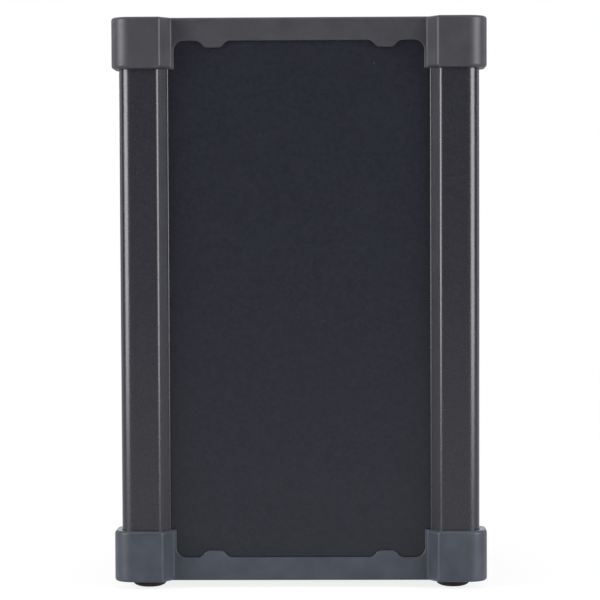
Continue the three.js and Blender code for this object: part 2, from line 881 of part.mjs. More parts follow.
function addFeedTube() {
	const tube = feedBar(feedTubeRadius, outletY + chamberBoreRadius, feedTailY, roundSides);
	const flange = feedBar(feedFlangeRadius, feedTailY - feedFlangeThickness, feedTailY, roundSides);
	const bore = feedBar(feedBoreRadius, outletY, feedTailY + overrun, roundSides);
	const chamberSpace = rod(
		chamberOuterRadius + fitGap,
		feedHeight - feedTubeRadius - overrun,
		feedHeight + feedTubeRadius + overrun,
		wideRoundSides,
	).translate(0, outletY, 0);
	const inlet = rod(hopperSpoutRadius, feedHeight, feedHeight + feedTubeRadius + overrun, smallRoundSides);
	inlet.translate(0, fillerY, 0);
	addPart('feed_tube', cut(join(tube, flange), bore, chamberSpace, inlet), steelFinish);
}

// A square ribbon wound about Z, from height zero
function helix(innerRadius, outerRadius, thickness, pitch, turns) {
	const steps = turns * augerStepsPerTurn;
	const positions = [];
	const index = [];
	for (let i = 0; i <= steps; i++) {
		const angle = 2 * Math.PI * i / augerStepsPerTurn;
		const height = pitch * i / augerStepsPerTurn;
		const corners = [
			[innerRadius, height],
			[outerRadius, height],
			[outerRadius, height + thickness],
			[innerRadius, height + thickness],
		];
		for (const [radius, z] of corners) {
			positions.push(radius * Math.cos(angle), radius * Math.sin(angle), z);
		}
	}
	for (let i = 0; i < steps; i++) {
		for (let j = 0; j < 4; j++) {
			const a = 4 * i + j;
			const b = 4 * i + (j + 1) % 4;
			index.push(a, b + 4, b, a, a + 4, b + 4);
		}
	}
	const end = 4 * steps;
	index.push(0, 1, 2, 0, 2, 3);
	index.push(end, end + 2, end + 1, end, end + 3, end + 2);
	const geometry = new THREE.BufferGeometry();
	geometry.setAttribute('position', new THREE.Float32BufferAttribute(positions, 3));
	geometry.setIndex(index);
	return geometry;
}

function addAuger() {
	const shaft = feedBar(augerShaftRadius, augerFrontY, augerRearY);
	const couplingY = augerRearY - augerCouplingLength;
	const coupling = feedBar(augerCouplingRadius, couplingY, augerRearY);
	const ribbon = helix(augerShaftRadius / 2, augerRadius, augerFlightThickness, augerPitch, augerTurns);
	const flight = alongY(ribbon).translate(0, augerFrontY, feedHeight);
	const socketRadius = motorShaftRadius + motorShaftClearance;
	const socket = feedBar(socketRadius, couplingY + hopperWall, augerRearY + overrun);
	addPart('feed_auger', cut(join(shaft, coupling, flight), socket), steelFinish);
}

function addFeedMotor() {
	const half = gearboxWidth / 2;
	const gearboxHighY = gearboxLowY + gearboxLength;
	const gearbox = block(-half, half, gearboxLowY, gearboxHighY, feedHeight - half, feedHeight + half);
	const can = feedBar(motorRadius, gearboxHighY - overrun, gearboxHighY + motorLength, roundSides);
	const shaftFrontY = augerRearY - augerCouplingLength + hopperWall + fitGap;
	const shaft = feedBar(motorShaftRadius, shaftFrontY, gearboxLowY + overrun);
	addPart('feed_motor', join(gearbox, can, shaft), zincFinish);
}

function addFeedBracket() {
	const half = bracketWidth / 2;
	const low = deckTop + fitGap;
	const wall = block(-half, half, bracketLowY, bracketHighY, low, feedHeight + bracketRise);
	const foot = block(-half, half, bracketHighY - bracketFoot, bracketHighY, low, low + bracketThickness);
	const hole = feedBar(bracketHoleRadius, bracketLowY - overrun, bracketHighY + overrun);
	addPart('feed_bracket', cut(join(wall, foot), hole), zincFinish);
}

// Deck: a folded sheet between the side panels that carries the blower and the feed bracket
function addDeck() {
	const half = insideHalfWidth;
	const frontY = postBevelEnd + deckMargin - halfDepth;
	const rearY = halfDepth - panelBack - fitGap - fanDepth - deckMargin;
	const flangeLow = deckTop - deckFlange;
	const sheet = block(-half, half, frontY, rearY, deckHeight, deckTop);
	const left = block(-half, -half + deckThickness, frontY, rearY, flangeLow, deckTop);
	const right = block(half - deckThickness, half, frontY, rearY, flangeLow, deckTop);
	const hole = centredBlock(deckHoleWidth, deckHoleDepth, deckHeight - overrun, deckTop + overrun);
	hole.translate(half - deckHoleWidth, deckHoleDistance, 0);
	addPart('mid_deck', cut(join(sheet, left, right), hole), zincFinish);
}

// Blower: a round housing on its edge, blowing straight up into the chamber

const blowerFrontY = outletY - blowerDepth / 2;
const blowerRearY = outletY + blowerDepth / 2;
const blowerX = blowerRadius - blowerOutletWidth / 2;
const blowerBossFrontY = blowerRearY - blowerWall - blowerBossLength;

// A round bar along the blower's axis
function blowerBar(radius, yLow, yHigh, sides = roundSides) {
	return alongY(rod(radius, yLow, yHigh, sides)).translate(blowerX, 0, blowerCentreZ);
}

function addBlowerHousing() {
	const half = blowerOutletWidth / 2;
	const drum = blowerBar(blowerRadius, blowerFrontY, blowerRearY, wideRoundSides);
	const duct = block(-half, half, blowerFrontY, blowerRearY, blowerCentreZ, blowerOutletTop);
	const foot = block(
		blowerX - blowerFootWidth / 2, blowerX + blowerFootWidth / 2,
		blowerFrontY, blowerRearY,
		deckTop + fitGap, blowerCentreZ,
	);
	const innerFrontY = blowerFrontY + blowerWall;
	const innerRearY = blowerRearY - blowerWall;
	const inside = half - blowerWall;
	const drumSpace = blowerBar(blowerRadius - blowerWall, innerFrontY, innerRearY, wideRoundSides);
	const ductSpace = block(-inside, inside, innerFrontY, innerRearY, blowerCentreZ, blowerOutletTop + overrun);
	const inlet = blowerBar(blowerInletRadius, blowerFrontY - overrun, innerFrontY + overrun);
	const boss = blowerBar(blowerBossRadius, blowerBossFrontY, blowerRearY);
	const shaftFrontY = blowerBossFrontY - blowerShaftLength;
	const shaft = blowerBar(blowerShaftRadius, shaftFrontY, blowerRearY, smallRoundSides);
	const shell = cut(join(drum, duct, foot), drumSpace, ductSpace, inlet);
	addPart('blower_housing', join(shell, boss, shaft), blackPlasticFinish);
}

function addImpeller() {
	const rearY = blowerBossFrontY - impellerClearance;
	const frontY = blowerFrontY + blowerWall + impellerClearance;
	const hub = blowerBar(impellerHubRadius, frontY, rearY);
	const plate = blowerBar(impellerRadius, rearY - impellerPlate, rearY);
	const ringInner = impellerRadius - impellerRingWidth;
	const ring = alongY(ringOf(ringInner, impellerRadius, frontY, frontY + impellerPlate));
	ring.translate(blowerX, 0, blowerCentreZ);
	const bore = blowerBar(blowerShaftRadius + fitGap, frontY - overrun, rearY + overrun, smallRoundSides);
	const blades = [];
	for (let i = 0; i < impellerBladeCount; i++) {
		const bladeRearY = rearY - impellerPlate / 2;
		const blade = centredBlock(impellerBladeDepth, impellerBladeThickness, frontY, bladeRearY);
		blade.rotateZ(radians(impellerBladeAngle));
		blade.translate(impellerRadius - impellerBladeDepth / 2 - impellerPlate, 0, 0);
		blade.rotateZ(2 * Math.PI * i / impellerBladeCount);
		blades.push(alongY(blade).translate(blowerX, 0, blowerCentreZ));
	}
	addPart('blower_impeller', cut(join(hub, plate, ring, ...blades), bore), blackPlasticFinish);
}

function addPowerSupply() {
	const low = basePlateHigh + fitGap;
	const frontY = -halfDepth + postBevelEnd + supplyFrontGap;
	const rearY = frontY + supplyDepth;
	const end = insideHalfWidth - supplySideGap;
	const boxEnd = end - terminalWidth;
	const box = block(-end, boxEnd, frontY, rearY, low, low + supplyHeight);
	const strip = block(
		boxEnd - overrun, end,
		frontY + terminalMargin, rearY - terminalMargin,
		low, low + terminalHeight,
	);
	addPart('power_supply', join(box, strip), zincFinish);
}

// Rear controls, in the rear side's own frame: x across to the viewer's right, y up, z outwards

const panelInside = -panelThickness - fitGap;
const boardFace = panelInside - standoffLength;
const bezelFace = fitGap + bezelThickness;

function buttonPlaces() {
	return [0, 1, 2, 3].map((i) => buttonOffset + i * buttonPitch);
}

function addControlBoard() {
	const board = centredBlock(boardWidth, boardHeight, boardFace - boardThickness, boardFace);
	const standoffX = boardWidth / 2 - standoffMargin;
	const standoffY = boardHeight / 2 - standoffMargin;
	const extras = [];
	for (const [x, y] of [[-1, -1], [1, -1], [1, 1], [-1, 1]]) {
		const standoff = rod(standoffRadius, boardFace - boardThickness, panelInside, smallRoundSides);
		extras.push(standoff.translate(x * standoffX, y * standoffY, 0));
	}
	for (const across of buttonPlaces()) {
		const tact = centredBlock(switchSize, switchSize, boardFace - boardThickness, boardFace + switchHeight);
		extras.push(tact.translate(across, 0, 0));
	}
	addPart('control_board', join(board, ...extras), boardFinish, rearSide).position.y = controlHeight;
}

function addDisplay() {
	const moduleWidth = displayWidth + 2 * moduleMargin;
	const moduleHeight = displayHeight + 2 * moduleMargin;
	const module = centredBlock(moduleWidth, moduleHeight, boardFace + fitGap, panelInside);
	const placed = addPart('display_module', module, blackPlasticFinish, rearSide);
	placed.position.set(-displayOffset, controlHeight, 0);
	const windowWidth = displayWidth + 2 * windowMargin;
	const windowHeight = displayHeight + 2 * windowMargin;
	const pane = prism(rectanglePoints(windowWidth, windowHeight, bezelRadius), fitGap, bezelFace);
	const window = addPart('display_window', pane, windowFinish, rearSide);
	window.position.set(-displayOffset, controlHeight, 0);
}

function addBezel() {
	const plate = prism(rectanglePoints(bezelWidth, bezelHeight, bezelRadius), fitGap, bezelFace);
	const windowWidth = displayWidth + 2 * windowMargin + 2 * fitGap;
	const windowHeight = displayHeight + 2 * windowMargin + 2 * fitGap;
	const windowHole = prism(rectanglePoints(windowWidth, windowHeight, bezelRadius), 0, bezelFace + overrun);
	windowHole.translate(-displayOffset, 0, 0);
	const holes = buttonPlaces().map((across) => {
		return rod(buttonRadius + fitGap, 0, bezelFace + overrun, smallRoundSides).translate(across, 0, 0);
	});
	const bezel = addPart('control_bezel', cut(plate, windowHole, ...holes), blackPlasticFinish, rearSide);
	bezel.position.y = controlHeight;
}

function addButtons() {
	const stemLow = boardFace + switchHeight + fitGap + buttonTravel;
	const top = bezelFace + buttonProud;
	const flangeLow = panelInside - buttonFlangeThickness;
	const button = turned([
		[0, stemLow],
		[buttonStemRadius, stemLow],
		[buttonStemRadius, flangeLow],
		[buttonFlangeRadius, flangeLow],
		[buttonFlangeRadius, panelInside],
		[buttonRadius, panelInside],
		[buttonRadius, top - buttonEdge],
		[buttonRadius - buttonEdge, top],
		[0, top],
	], smallRoundSides);
	const names = ['menu_button', 'down_button', 'up_button', 'enter_button'];
	buttonPlaces().forEach((across, i) => {
		addPart(names[i], button, buttonFinish, rearSide).position.set(across, controlHeight, 0);
	});
}

// Cooling fan: a square frame behind the rear panel, a rotor on its shaft and a guard outside

const fanInside = panelInside - fanDepth;
const fanMountFace = fanInside + fanMountThickness;

function addFanFrame() {
	const body = prism(rectanglePoints(fanSize, fanSize, fanCornerRadius), fanInside, panelInside);
	const bore = rod(fanBoreRadius, fanInside - overrun, panelInside + overrun, wideRoundSides);
	const mount = rod(fanHubRadius, fanInside, fanMountFace);
	const shaft = rod(fanShaftRadius, fanInside, fanMountFace + fanShaftLength, smallRoundSides);
	const reach = 2 * fanBoreRadius + fanStrutWidth;
	const across = centredBlock(reach, fanStrutWidth, fanInside, fanMountFace);
	const upright = centredBlock(fanStrutWidth, reach, fanInside, fanMountFace);
	const frame = join(cut(body, bore), mount, shaft, across, upright);
	addPart('fan_frame', frame, blackPlasticFinish, rearSide).position.y = fanHeight;
}

function addFanRotor() {
	const low = fanMountFace + fanHubClearance;
	const high = panelInside - fanFaceClearance;
	const hub = rod(fanHubRadius, low, high);
	const boreRadius = fanShaftRadius + fanShaftClearance;
	const boreHigh = fanMountFace + fanShaftLength + fanHubClearance;
	const bore = rod(boreRadius, low - overrun, boreHigh, smallRoundSides);
	const tip = fanBoreRadius - fanTipClearance;
	const root = fanHubRadius - fanBladeThickness;
	const blades = [];
	for (let i = 0; i < fanBladeCount; i++) {
		const blade = new THREE.BoxGeometry(tip - root, fanBladeWidth, fanBladeThickness);
		blade.rotateX(radians(fanBladeAngle));
		blade.translate((tip + root) / 2, 0, (low + high) / 2);
		blades.push(blade.rotateZ(2 * Math.PI * i / fanBladeCount));
	}
	addPart('fan_rotor', cut(join(hub, ...blades), bore), blackPlasticFinish, rearSide).position.y = fanHeight;
}

function addFanGuard() {
	const low = fitGap;
	const high = low + guardWire;
	const half = guardWire / 2;
	const pieces = [];
	for (let i = 1; i <= guardRingCount; i++) {
		const radius = i * guardRingPitch;
		pieces.push(ringOf(radius - half, radius + half, low, high, wideRoundSides));
	}
	for (const turn of [45, 135]) {
		const bar = centredBlock(fanScrewPitch * Math.SQRT2, guardWire, low, high);
		pieces.push(bar.rotateZ(radians(turn)));
	}
	for (const [x, y] of [[-1, -1], [1, -1], [1, 1], [-1, 1]]) {
		const ear = rod(guardEarRadius, low, high, smallRoundSides);
		pieces.push(ear.translate(x * fanScrewPitch / 2, y * fanScrewPitch / 2, 0));
	}
	addPart('fan_guard', join(...pieces), steelFinish, rearSide).position.y = fanHeight;
}

// Data sockets: a square flange with a round barrel through the panel

const socketFace = fitGap + socketFlangeThickness;

function socketBody() {
	const flange = prism(
		rectanglePoints(socketFlangeWidth, socketFlangeHeight, socketFlangeRadius),
		fitGap,
		socketFace,
	);
	return join(flange, rod(socketBarrelRadius, socketFace - socketBarrelLength, socketFace - overrun / 2));
}

// Three contacts at equal angles, the odd one at the bottom
function contactPlaces(circle) {
	return [90, 210, 330].map((degrees) => {
		return [-circle * Math.cos(radians(degrees)), -circle * Math.sin(radians(degrees))];
	});
}

function addDataInput() {
	const floor = socketFace - socketCavityDepth;
	const cavity = rod(socketCavityRadius, floor, socketFace + overrun);
	const pins = contactPlaces(inputPinCircle).map(([x, y]) => {
		return rod(inputPinRadius, floor - overrun, floor + inputPinLength, smallRoundSides).translate(x, y, 0);
	});
	const socket = join(cut(socketBody(), cavity), ...pins);
	addPart('data_input', socket, steelFinish, rearSide).position.set(dataInputAcross, socketHeight, 0);
}

function addDataOutput() {
	const floor = socketFace - socketCavityDepth;
	const groove = ringOf(outputCoreRadius, socketCavityRadius, floor, socketFace + overrun);
	const holes = contactPlaces(inputPinCircle).map(([x, y]) => {
		const hole = rod(outputHoleRadius, socketFace - outputHoleDepth, socketFace + overrun, smallRoundSides);
		return hole.translate(x, y, 0);
	});
	const slot = centredBlock(latchWidth + 2 * fitGap, latchHeight + 2 * fitGap, 0, socketFace + overrun);
	slot.translate(0, latchRise, 0);
	const socket = cut(socketBody(), groove, slot, ...holes);
	addPart('data_output', socket, steelFinish, rearSide).position.set(dataOutputAcross, socketHeight, 0);

	// The latch is pressed inwards. Its stop keeps it from coming out through the flange.
	const key = centredBlock(latchWidth, latchHeight, socketFace - latchLength, socketFace + latchProud);
	const stop = centredBlock(latchStopWidth, latchHeight, -latchStopThickness, 0);
	const latch = addPart('data_latch', join(key, stop), latchFinish, rearSide);
	latch.position.set(dataOutputAcross, socketHeight + latchRise, 0);
}

function addPowerInlet() {
	const face = fitGap + inletFlangeThickness;
	const flange = prism(rectanglePoints(inletFlangeWidth, inletFlangeHeight, inletCornerRadius), fitGap, face);
	const bodyPoints = rectanglePoints(inletBodyWidth, inletBodyHeight, inletCornerRadius);
	const body = prism(bodyPoints, face - inletBodyDepth, face - overrun / 2);
	const floor = face - inletCavityDepth;
	const cavityWidth = inletBodyWidth - 2 * inletWall;
	const cavityHeight = inletBodyHeight - 2 * inletWall;
	const cavity = prism(rectanglePoints(cavityWidth, cavityHeight, inletCornerRadius), floor, face + overrun);
	const places = [[-bladeSpacing / 2, -bladeDrop], [0, bladeRise], [bladeSpacing / 2, -bladeDrop]];
	const blades = places.map(([x, y]) => {
		const blade = centredBlock(bladeThickness, bladeHeight, floor - overrun, floor + bladeLength);
		return blade.translate(x, y, 0);
	});
	const inlet = join(cut(join(flange, body), cavity), ...blades);
	addPart('power_inlet', inlet, blackPlasticFinish, rearSide).position.set(inletAcross, socketHeight, 0);
}

// Rocker switch: a frame with a well, and a rocker that tips on two pins in the well's walls

function rockerBodySize() {
	const width = rockerWidth + 2 * fitGap + 2 * rockerFrameWall;
	const height = 2 * (rockerReach + fitGap + rockerFrameWall);
	return [width, height];
}

function addRockerFrame() {
	const face = fitGap + rockerFrameThickness;
	const [width, height] = rockerBodySize();
	const rim = 2 * rockerFrameRim;
	const wellFloor = -rockerPivotDepth - rockerWellDepth;
	const flange = prism(rectanglePoints(width + rim, height + rim, rockerFrameRim), fitGap, face);
	const body = centredBlock(width, height, wellFloor - rockerFloor, face - overrun / 2);
	const well = centredBlock(rockerWidth + 2 * fitGap, 2 * (rockerReach + fitGap), wellFloor, face + overrun);
	const pinReach = rockerWidth / 2 + rockerPinLength + fitGap;
	const pinHole = alongX(rod(rockerPinRadius + fitGap / 2, -pinReach, pinReach, smallRoundSides));
	pinHole.translate(0, 0, -rockerPivotDepth);
	const frame = cut(join(flange, body), well, pinHole);
	addPart('rocker_frame', frame, blackPlasticFinish, rearSide).position.set(rockerAcross, socketHeight, 0);
}

function addRocker() {
	const rightEnd = arcPoints(0, 0, rockerReach, -rockerLowAngle, rockerTopAngle);
	const leftEnd = arcPoints(0, 0, rockerReach, 180 - rockerTopAngle, 180 + rockerLowAngle);
	const [endAcross, endHeight] = rightEnd[rightEnd.length - 1];
	const valley = [0, endHeight - endAcross * Math.tan(radians(rockerTilt))];
	const half = rockerWidth / 2;
	const rocker = prism([...rightEnd, valley, ...leftEnd], -half, half);
	rocker.rotateY(Math.PI / 2).rotateX(Math.PI / 2);
	const pinReach = half + rockerPinLength;
	const pins = alongX(rod(rockerPinRadius, -pinReach, pinReach, smallRoundSides));
	const mesh = addPart('power_rocker', join(rocker, pins), rockerFinish, rearSide);
	mesh.rotation.x = radians(rockerTilt);
	mesh.position.set(rockerAcross, socketHeight, -rockerPivotDepth);
}

// Side handle: a plate with two lugs, and a bail that hangs flat until it is lifted

function addHandle(name, side) {
	const plateWidth = machineDepth - 2 * postBevelEnd - 2 * handlePlateMargin;
	const plateFace = fitGap + handlePlateThickness;
	const lugHigh = plateWidth / 2 - lugInset;
	const lugLow = lugHigh - lugThickness;
	const lugFace = handleAxisOut + bailPinRadius + bailPinClearance + lugCap;
	const plate = prism(rectanglePoints(plateWidth, handlePlateHeight, handlePlateRadius), fitGap, plateFace);
	const lugs = [[lugLow, lugHigh], [-lugHigh, -lugLow]].map(([xLow, xHigh]) => {
		return block(xLow, xHigh, -lugHeight / 2, lugHeight / 2, fitGap, lugFace);
	});
	const boreReach = lugLow + bailPinLength + fitGap;
	const bore = alongX(rod(bailPinRadius + bailPinClearance, -boreReach, boreReach, smallRoundSides));
	bore.translate(0, 0, handleAxisOut);
	const mount = addPart(`${name}_handle_plate`, cut(join(plate, ...lugs), bore), sheetFinish, side);
	mount.position.y = handleHeight;

	const half = lugLow - fitGap;
	const innerHalf = half - bailBar;
	const innerRadius = bailCornerRadius - bailBar;
	const cornerX = half - bailCornerRadius;
	const cornerY = bailCornerRadius - bailDrop;
	const outline = [
		[-half, bailTop],
		...arcPoints(-cornerX, cornerY, bailCornerRadius, 180, 270),
		...arcPoints(cornerX, cornerY, bailCornerRadius, 270, 360),
		[half, bailTop],
		[innerHalf, bailTop],
		...arcPoints(cornerX, cornerY, innerRadius, 360, 270),
		...arcPoints(-cornerX, cornerY, innerRadius, 270, 180),
		[-innerHalf, bailTop],
	];
	const grip = new THREE.ExtrudeGeometry(shapeOf(outline), {
		depth: bailThickness - 2 * bailEdge,
		bevelEnabled: true,
		bevelSegments: 1,
		bevelSize: bailEdge,
		bevelThickness: bailEdge,
		bevelOffset: -bailEdge,
	}).translate(0, 0, bailEdge - bailThickness / 2);
	const pinStart = innerHalf + bailBar / 2;
	const pinEnd = half + bailPinLength;
	const pins = [[pinStart, pinEnd], [-pinEnd, -pinStart]];
	const trunnions = pins.map(([low, high]) => alongX(rod(bailPinRadius, low, high, smallRoundSides)));
	const bail = addPart(`${name}_handle_bail`, join(grip, ...trunnions), blackPlasticFinish, side);
	bail.position.set(0, handleHeight, handleAxisOut);
}

addCaps();
addPosts();
addFeet();
addPlainPanels();
addRearPanel();
addPlates();
addOutlet();
addChamber();
addFillerCollar();
addFillerLid();
addHopper();
addFeedTube();
addAuger();
addFeedMotor();
addFeedBracket();
addDeck();
addBlowerHousing();
addImpeller();
addPowerSupply();
addControlBoard();
addDisplay();
addBezel();
addButtons();
addFanFrame();
addFanRotor();
addFanGuard();
addDataInput();
addDataOutput();
addPowerInlet();
addRockerFrame();
addRocker();
addHandle('left', leftSide);
addHandle('right', rightSide);

export default machine;
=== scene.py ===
# %% [markdown]
# # Dressing a cold spark machine
#
# A cold spark machine is a stage effect in an upright case. Granules fall from a hopper into a
# heated chamber, and a blower throws them out of the top as a fountain of sparks.
# The case has four aluminium corner posts, sheet panels held in their slots, and a moulded cap
# above and below. The working model is loaded first and is never moved. Everything made here
# is put over it, in metres, with +Z up and the front facing -Y.

import itertools
from math import cos, pi, radians, sin, sqrt, tan

import bmesh
import bpy
from mathutils import Matrix, Vector


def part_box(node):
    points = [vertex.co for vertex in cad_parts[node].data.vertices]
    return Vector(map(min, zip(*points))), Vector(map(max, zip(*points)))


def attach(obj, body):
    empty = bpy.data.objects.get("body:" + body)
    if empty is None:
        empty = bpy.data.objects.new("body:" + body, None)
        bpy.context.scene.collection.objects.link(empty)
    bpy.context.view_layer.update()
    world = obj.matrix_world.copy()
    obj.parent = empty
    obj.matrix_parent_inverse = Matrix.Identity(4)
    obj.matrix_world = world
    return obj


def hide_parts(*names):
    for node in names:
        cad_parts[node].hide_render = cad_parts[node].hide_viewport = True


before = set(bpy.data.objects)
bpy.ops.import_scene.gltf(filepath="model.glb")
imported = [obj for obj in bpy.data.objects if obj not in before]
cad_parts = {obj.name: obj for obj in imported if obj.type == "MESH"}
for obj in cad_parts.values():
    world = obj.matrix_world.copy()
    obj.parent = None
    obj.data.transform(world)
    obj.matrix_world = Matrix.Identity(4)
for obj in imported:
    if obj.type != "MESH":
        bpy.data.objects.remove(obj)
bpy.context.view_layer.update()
scene = bpy.context.scene
mm = 0.001

# %% [markdown]
# The camera stands where the photograph was taken, about 1.7 metres in front of the case with a
# long lens. In the photograph the case is two or three pixels narrower at its foot than at its
# top, so the camera looks down by a few degrees. Tilting it further would bring the machine to
# the middle of the picture but taper it too much, so a lens shift does the rest.

# %% Camera
camera_place = (0.0351, -1.71, 0.2166)
camera_pitch = radians(-3.0)
camera_yaw = radians(1.25)
camera_roll = radians(-0.233)
camera_lens = 163.0
camera_rise = 0.1105

bpy.ops.object.camera_add(location=camera_place)
camera = bpy.context.active_object
turn = Matrix.Rotation(camera_yaw, 4, "Z") @ Matrix.Rotation(pi / 2 + camera_pitch, 4, "X")
camera.rotation_euler = (turn @ Matrix.Rotation(camera_roll, 4, "Z")).to_euler()
camera.data.sensor_width = 36
camera.data.lens = camera_lens
camera.data.shift_y = camera_rise
scene.camera = camera
print("camera at", tuple(round(value, 3) for value in camera.location))

# %% [markdown]
# Product light for a dark satin case comes from two tall soft boxes, one on each side. They
# draw the bright band down each rounded post. A weak lamp above lights the top. The
# backdrop could be a curved sheet of paper, but a white world gives the same picture, and for
# the machine itself it can be turned down to a faint fill. A dark case would look grey if its
# flat sides mirrored white walls, so a photographer hangs dark cards in front of them. Here the
# cards are planes that only reflections can see, and the front one glows faintly, as a dim
# room does.

# %% Floor, world and lamps
def add_lamp(name, place, aim, width, height, power):
    bpy.ops.object.light_add(type="AREA", location=place)
    lamp = bpy.context.active_object
    lamp.name = name
    lamp.data.shape = "RECTANGLE"
    lamp.data.size = width
    lamp.data.size_y = height
    lamp.data.energy = power
    lamp.rotation_euler = (Vector(aim) - Vector(place)).to_track_quat("-Z", "Y").to_euler()
    return lamp


def is_ray(nodes, links, *kinds):
    """One where a ray is of any of the kinds, else zero"""
    path = nodes.new("ShaderNodeLightPath")
    share = path.outputs[f"Is {kinds[0]} Ray"]
    for kind in kinds[1:]:
        either = nodes.new("ShaderNodeMath")
        either.operation = "MAXIMUM"
        links.new(share, either.inputs[0])
        links.new(path.outputs[f"Is {kind} Ray"], either.inputs[1])
        share = either.outputs[0]
    return share


def make_world(fill_strength):
    world = bpy.data.worlds.new("white_studio")
    scene.world = world
    world.use_nodes = True
    nodes, links = world.node_tree.nodes, world.node_tree.links
    nodes.clear()
    fill = nodes.new("ShaderNodeBackground")
    fill.inputs["Color"].default_value = (1, 1, 1, 1)
    fill.inputs["Strength"].default_value = fill_strength
    backdrop = nodes.new("ShaderNodeBackground")
    backdrop.inputs["Color"].default_value = (1, 1, 1, 1)
    backdrop.inputs["Strength"].default_value = 1
    mix = nodes.new("ShaderNodeMixShader")
    output = nodes.new("ShaderNodeOutputWorld")
    links.new(is_ray(nodes, links, "Camera", "Glossy", "Transmission"), mix.inputs["Fac"])
    links.new(fill.outputs[0], mix.inputs[1])
    links.new(backdrop.outputs[0], mix.inputs[2])
    links.new(mix.outputs[0], output.inputs["Surface"])


def make_floor(near_radius, far_radius, mirrored_level):
    """White paper that keeps the shadow near the machine and fades into the white world

    Reflections see it as a plain grey, as a dark table's edge would dim it. It is clear when
    looked at from below, so that the machine's underside can be seen.
    """
    bpy.ops.mesh.primitive_plane_add(size=14, location=(0, 0, 0))
    floor = bpy.context.active_object
    floor.name = "studio_floor"
    paper = bpy.data.materials.new("studio_paper")
    paper.use_nodes = True
    nodes, links = paper.node_tree.nodes, paper.node_tree.links
    nodes.clear()
    matt = nodes.new("ShaderNodeBsdfDiffuse")
    matt.inputs["Color"].default_value = (0.8, 0.8, 0.8, 1)
    seen_matt = nodes.new("ShaderNodeBsdfDiffuse")
    seen_matt.inputs["Color"].default_value = (0.25, 0.25, 0.25, 1)
    glow = nodes.new("ShaderNodeEmission")
    glow.inputs["Strength"].default_value = 0.84
    white = nodes.new("ShaderNodeEmission")
    both = nodes.new("ShaderNodeAddShader")
    fade = nodes.new("ShaderNodeMixShader")
    lit = nodes.new("ShaderNodeMixShader")
    mirrored = nodes.new("ShaderNodeEmission")
    mirrored.inputs["Strength"].default_value = mirrored_level
    reflected = nodes.new("ShaderNodeMixShader")
    clear = nodes.new("ShaderNodeBsdfTransparent")
    facing = nodes.new("ShaderNodeNewGeometry")
    one_sided = nodes.new("ShaderNodeMixShader")
    output = nodes.new("ShaderNodeOutputMaterial")
    place = nodes.new("ShaderNodeTexCoord")
    distance = nodes.new("ShaderNodeVectorMath")
    distance.operation = "LENGTH"
    spread = nodes.new("ShaderNodeMapRange")
    spread.interpolation_type = "SMOOTHSTEP"
    spread.inputs["From Min"].default_value = near_radius
    spread.inputs["From Max"].default_value = far_radius
    links.new(place.outputs["Object"], distance.inputs[0])
    links.new(distance.outputs["Value"], spread.inputs["Value"])
    links.new(seen_matt.outputs[0], both.inputs[0])
    links.new(glow.outputs[0], both.inputs[1])
    links.new(spread.outputs["Result"], fade.inputs["Fac"])
    links.new(both.outputs[0], fade.inputs[1])
    links.new(white.outputs[0], fade.inputs[2])
    links.new(is_ray(nodes, links, "Camera", "Transmission"), lit.inputs["Fac"])
    links.new(matt.outputs[0], lit.inputs[1])
    links.new(fade.outputs[0], lit.inputs[2])
    links.new(is_ray(nodes, links, "Glossy"), reflected.inputs["Fac"])
    links.new(lit.outputs[0], reflected.inputs[1])
    links.new(mirrored.outputs[0], reflected.inputs[2])
    links.new(facing.outputs["Backfacing"], one_sided.inputs["Fac"])
    links.new(reflected.outputs[0], one_sided.inputs[1])
    links.new(clear.outputs[0], one_sided.inputs[2])
    links.new(one_sided.outputs[0], output.inputs["Surface"])
    floor.data.materials.append(paper)


def add_dark_card(name, x, y, width, height, turn=0, glow=0.0):
    """A dark card beside the machine that is seen only in reflections"""
    bpy.ops.mesh.primitive_plane_add(size=1, location=(x, y, height / 2), rotation=(pi / 2, 0, turn))
    card = bpy.context.active_object
    card.name = name
    card.scale = (width, height, 1)
    dark = bpy.data.materials.new(name + "_cloth")
    dark.use_nodes = True
    cloth = dark.node_tree.nodes["Principled BSDF"]
    cloth.inputs["Base Color"].default_value = (0.02, 0.02, 0.022, 1)
    cloth.inputs["Roughness"].default_value = 1
    cloth.inputs["Emission Color"].default_value = (1, 1, 1, 1)
    cloth.inputs["Emission Strength"].default_value = glow
    card.data.materials.append(dark)
    card.visible_camera = False
    card.visible_diffuse = False
    card.visible_transmission = False
    card.visible_shadow = False


make_world(fill_strength=0.2)
make_floor(near_radius=0.3, far_radius=1.1, mirrored_level=0.75)
lamp_aim = (0, 0, 0.17)
add_lamp("left_soft_box", (-1.28, -0.74, 0.55), lamp_aim, 0.8, 1.1, 21)
add_lamp("right_soft_box", (1.28, -0.78, 0.5), lamp_aim, 0.8, 1.1, 20)
add_lamp("top_soft_box", (0.1, -0.3, 1.6), lamp_aim, 1.2, 1.2, 3)
add_lamp("rear_fill", (0.0, 1.9, 0.9), lamp_aim, 1.6, 1.2, 16)
add_dark_card("front_card", 0, -2.6, 4.4, 3.0, glow=0.2)
add_dark_card("rear_card", 0, 2.6, 4.4, 3.0)
add_dark_card("left_card", -2.4, -0.75, 2.5, 3.0, turn=pi / 2)
add_dark_card("right_card", 2.4, -0.75, 2.5, 3.0, turn=pi / 2)
scene.view_settings.view_transform = "Standard"

# %% [markdown]
# The same few moves are used again and again at the bench: add a block or a bar, pick some
# edges, round them, cut one shape out of another, and smooth the result. Each move is an
# ordinary Blender operator with the picking done in code. Everything is deselected first,
# because an operator acts on all that is selected.

# %% Moves for picking and placing
near = 0.1 * mm


def use(piece):
    """Makes one piece the only selected and the active one"""
    bpy.ops.object.select_all(action="DESELECT")
    piece.select_set(True)
    bpy.context.view_layer.objects.active = piece


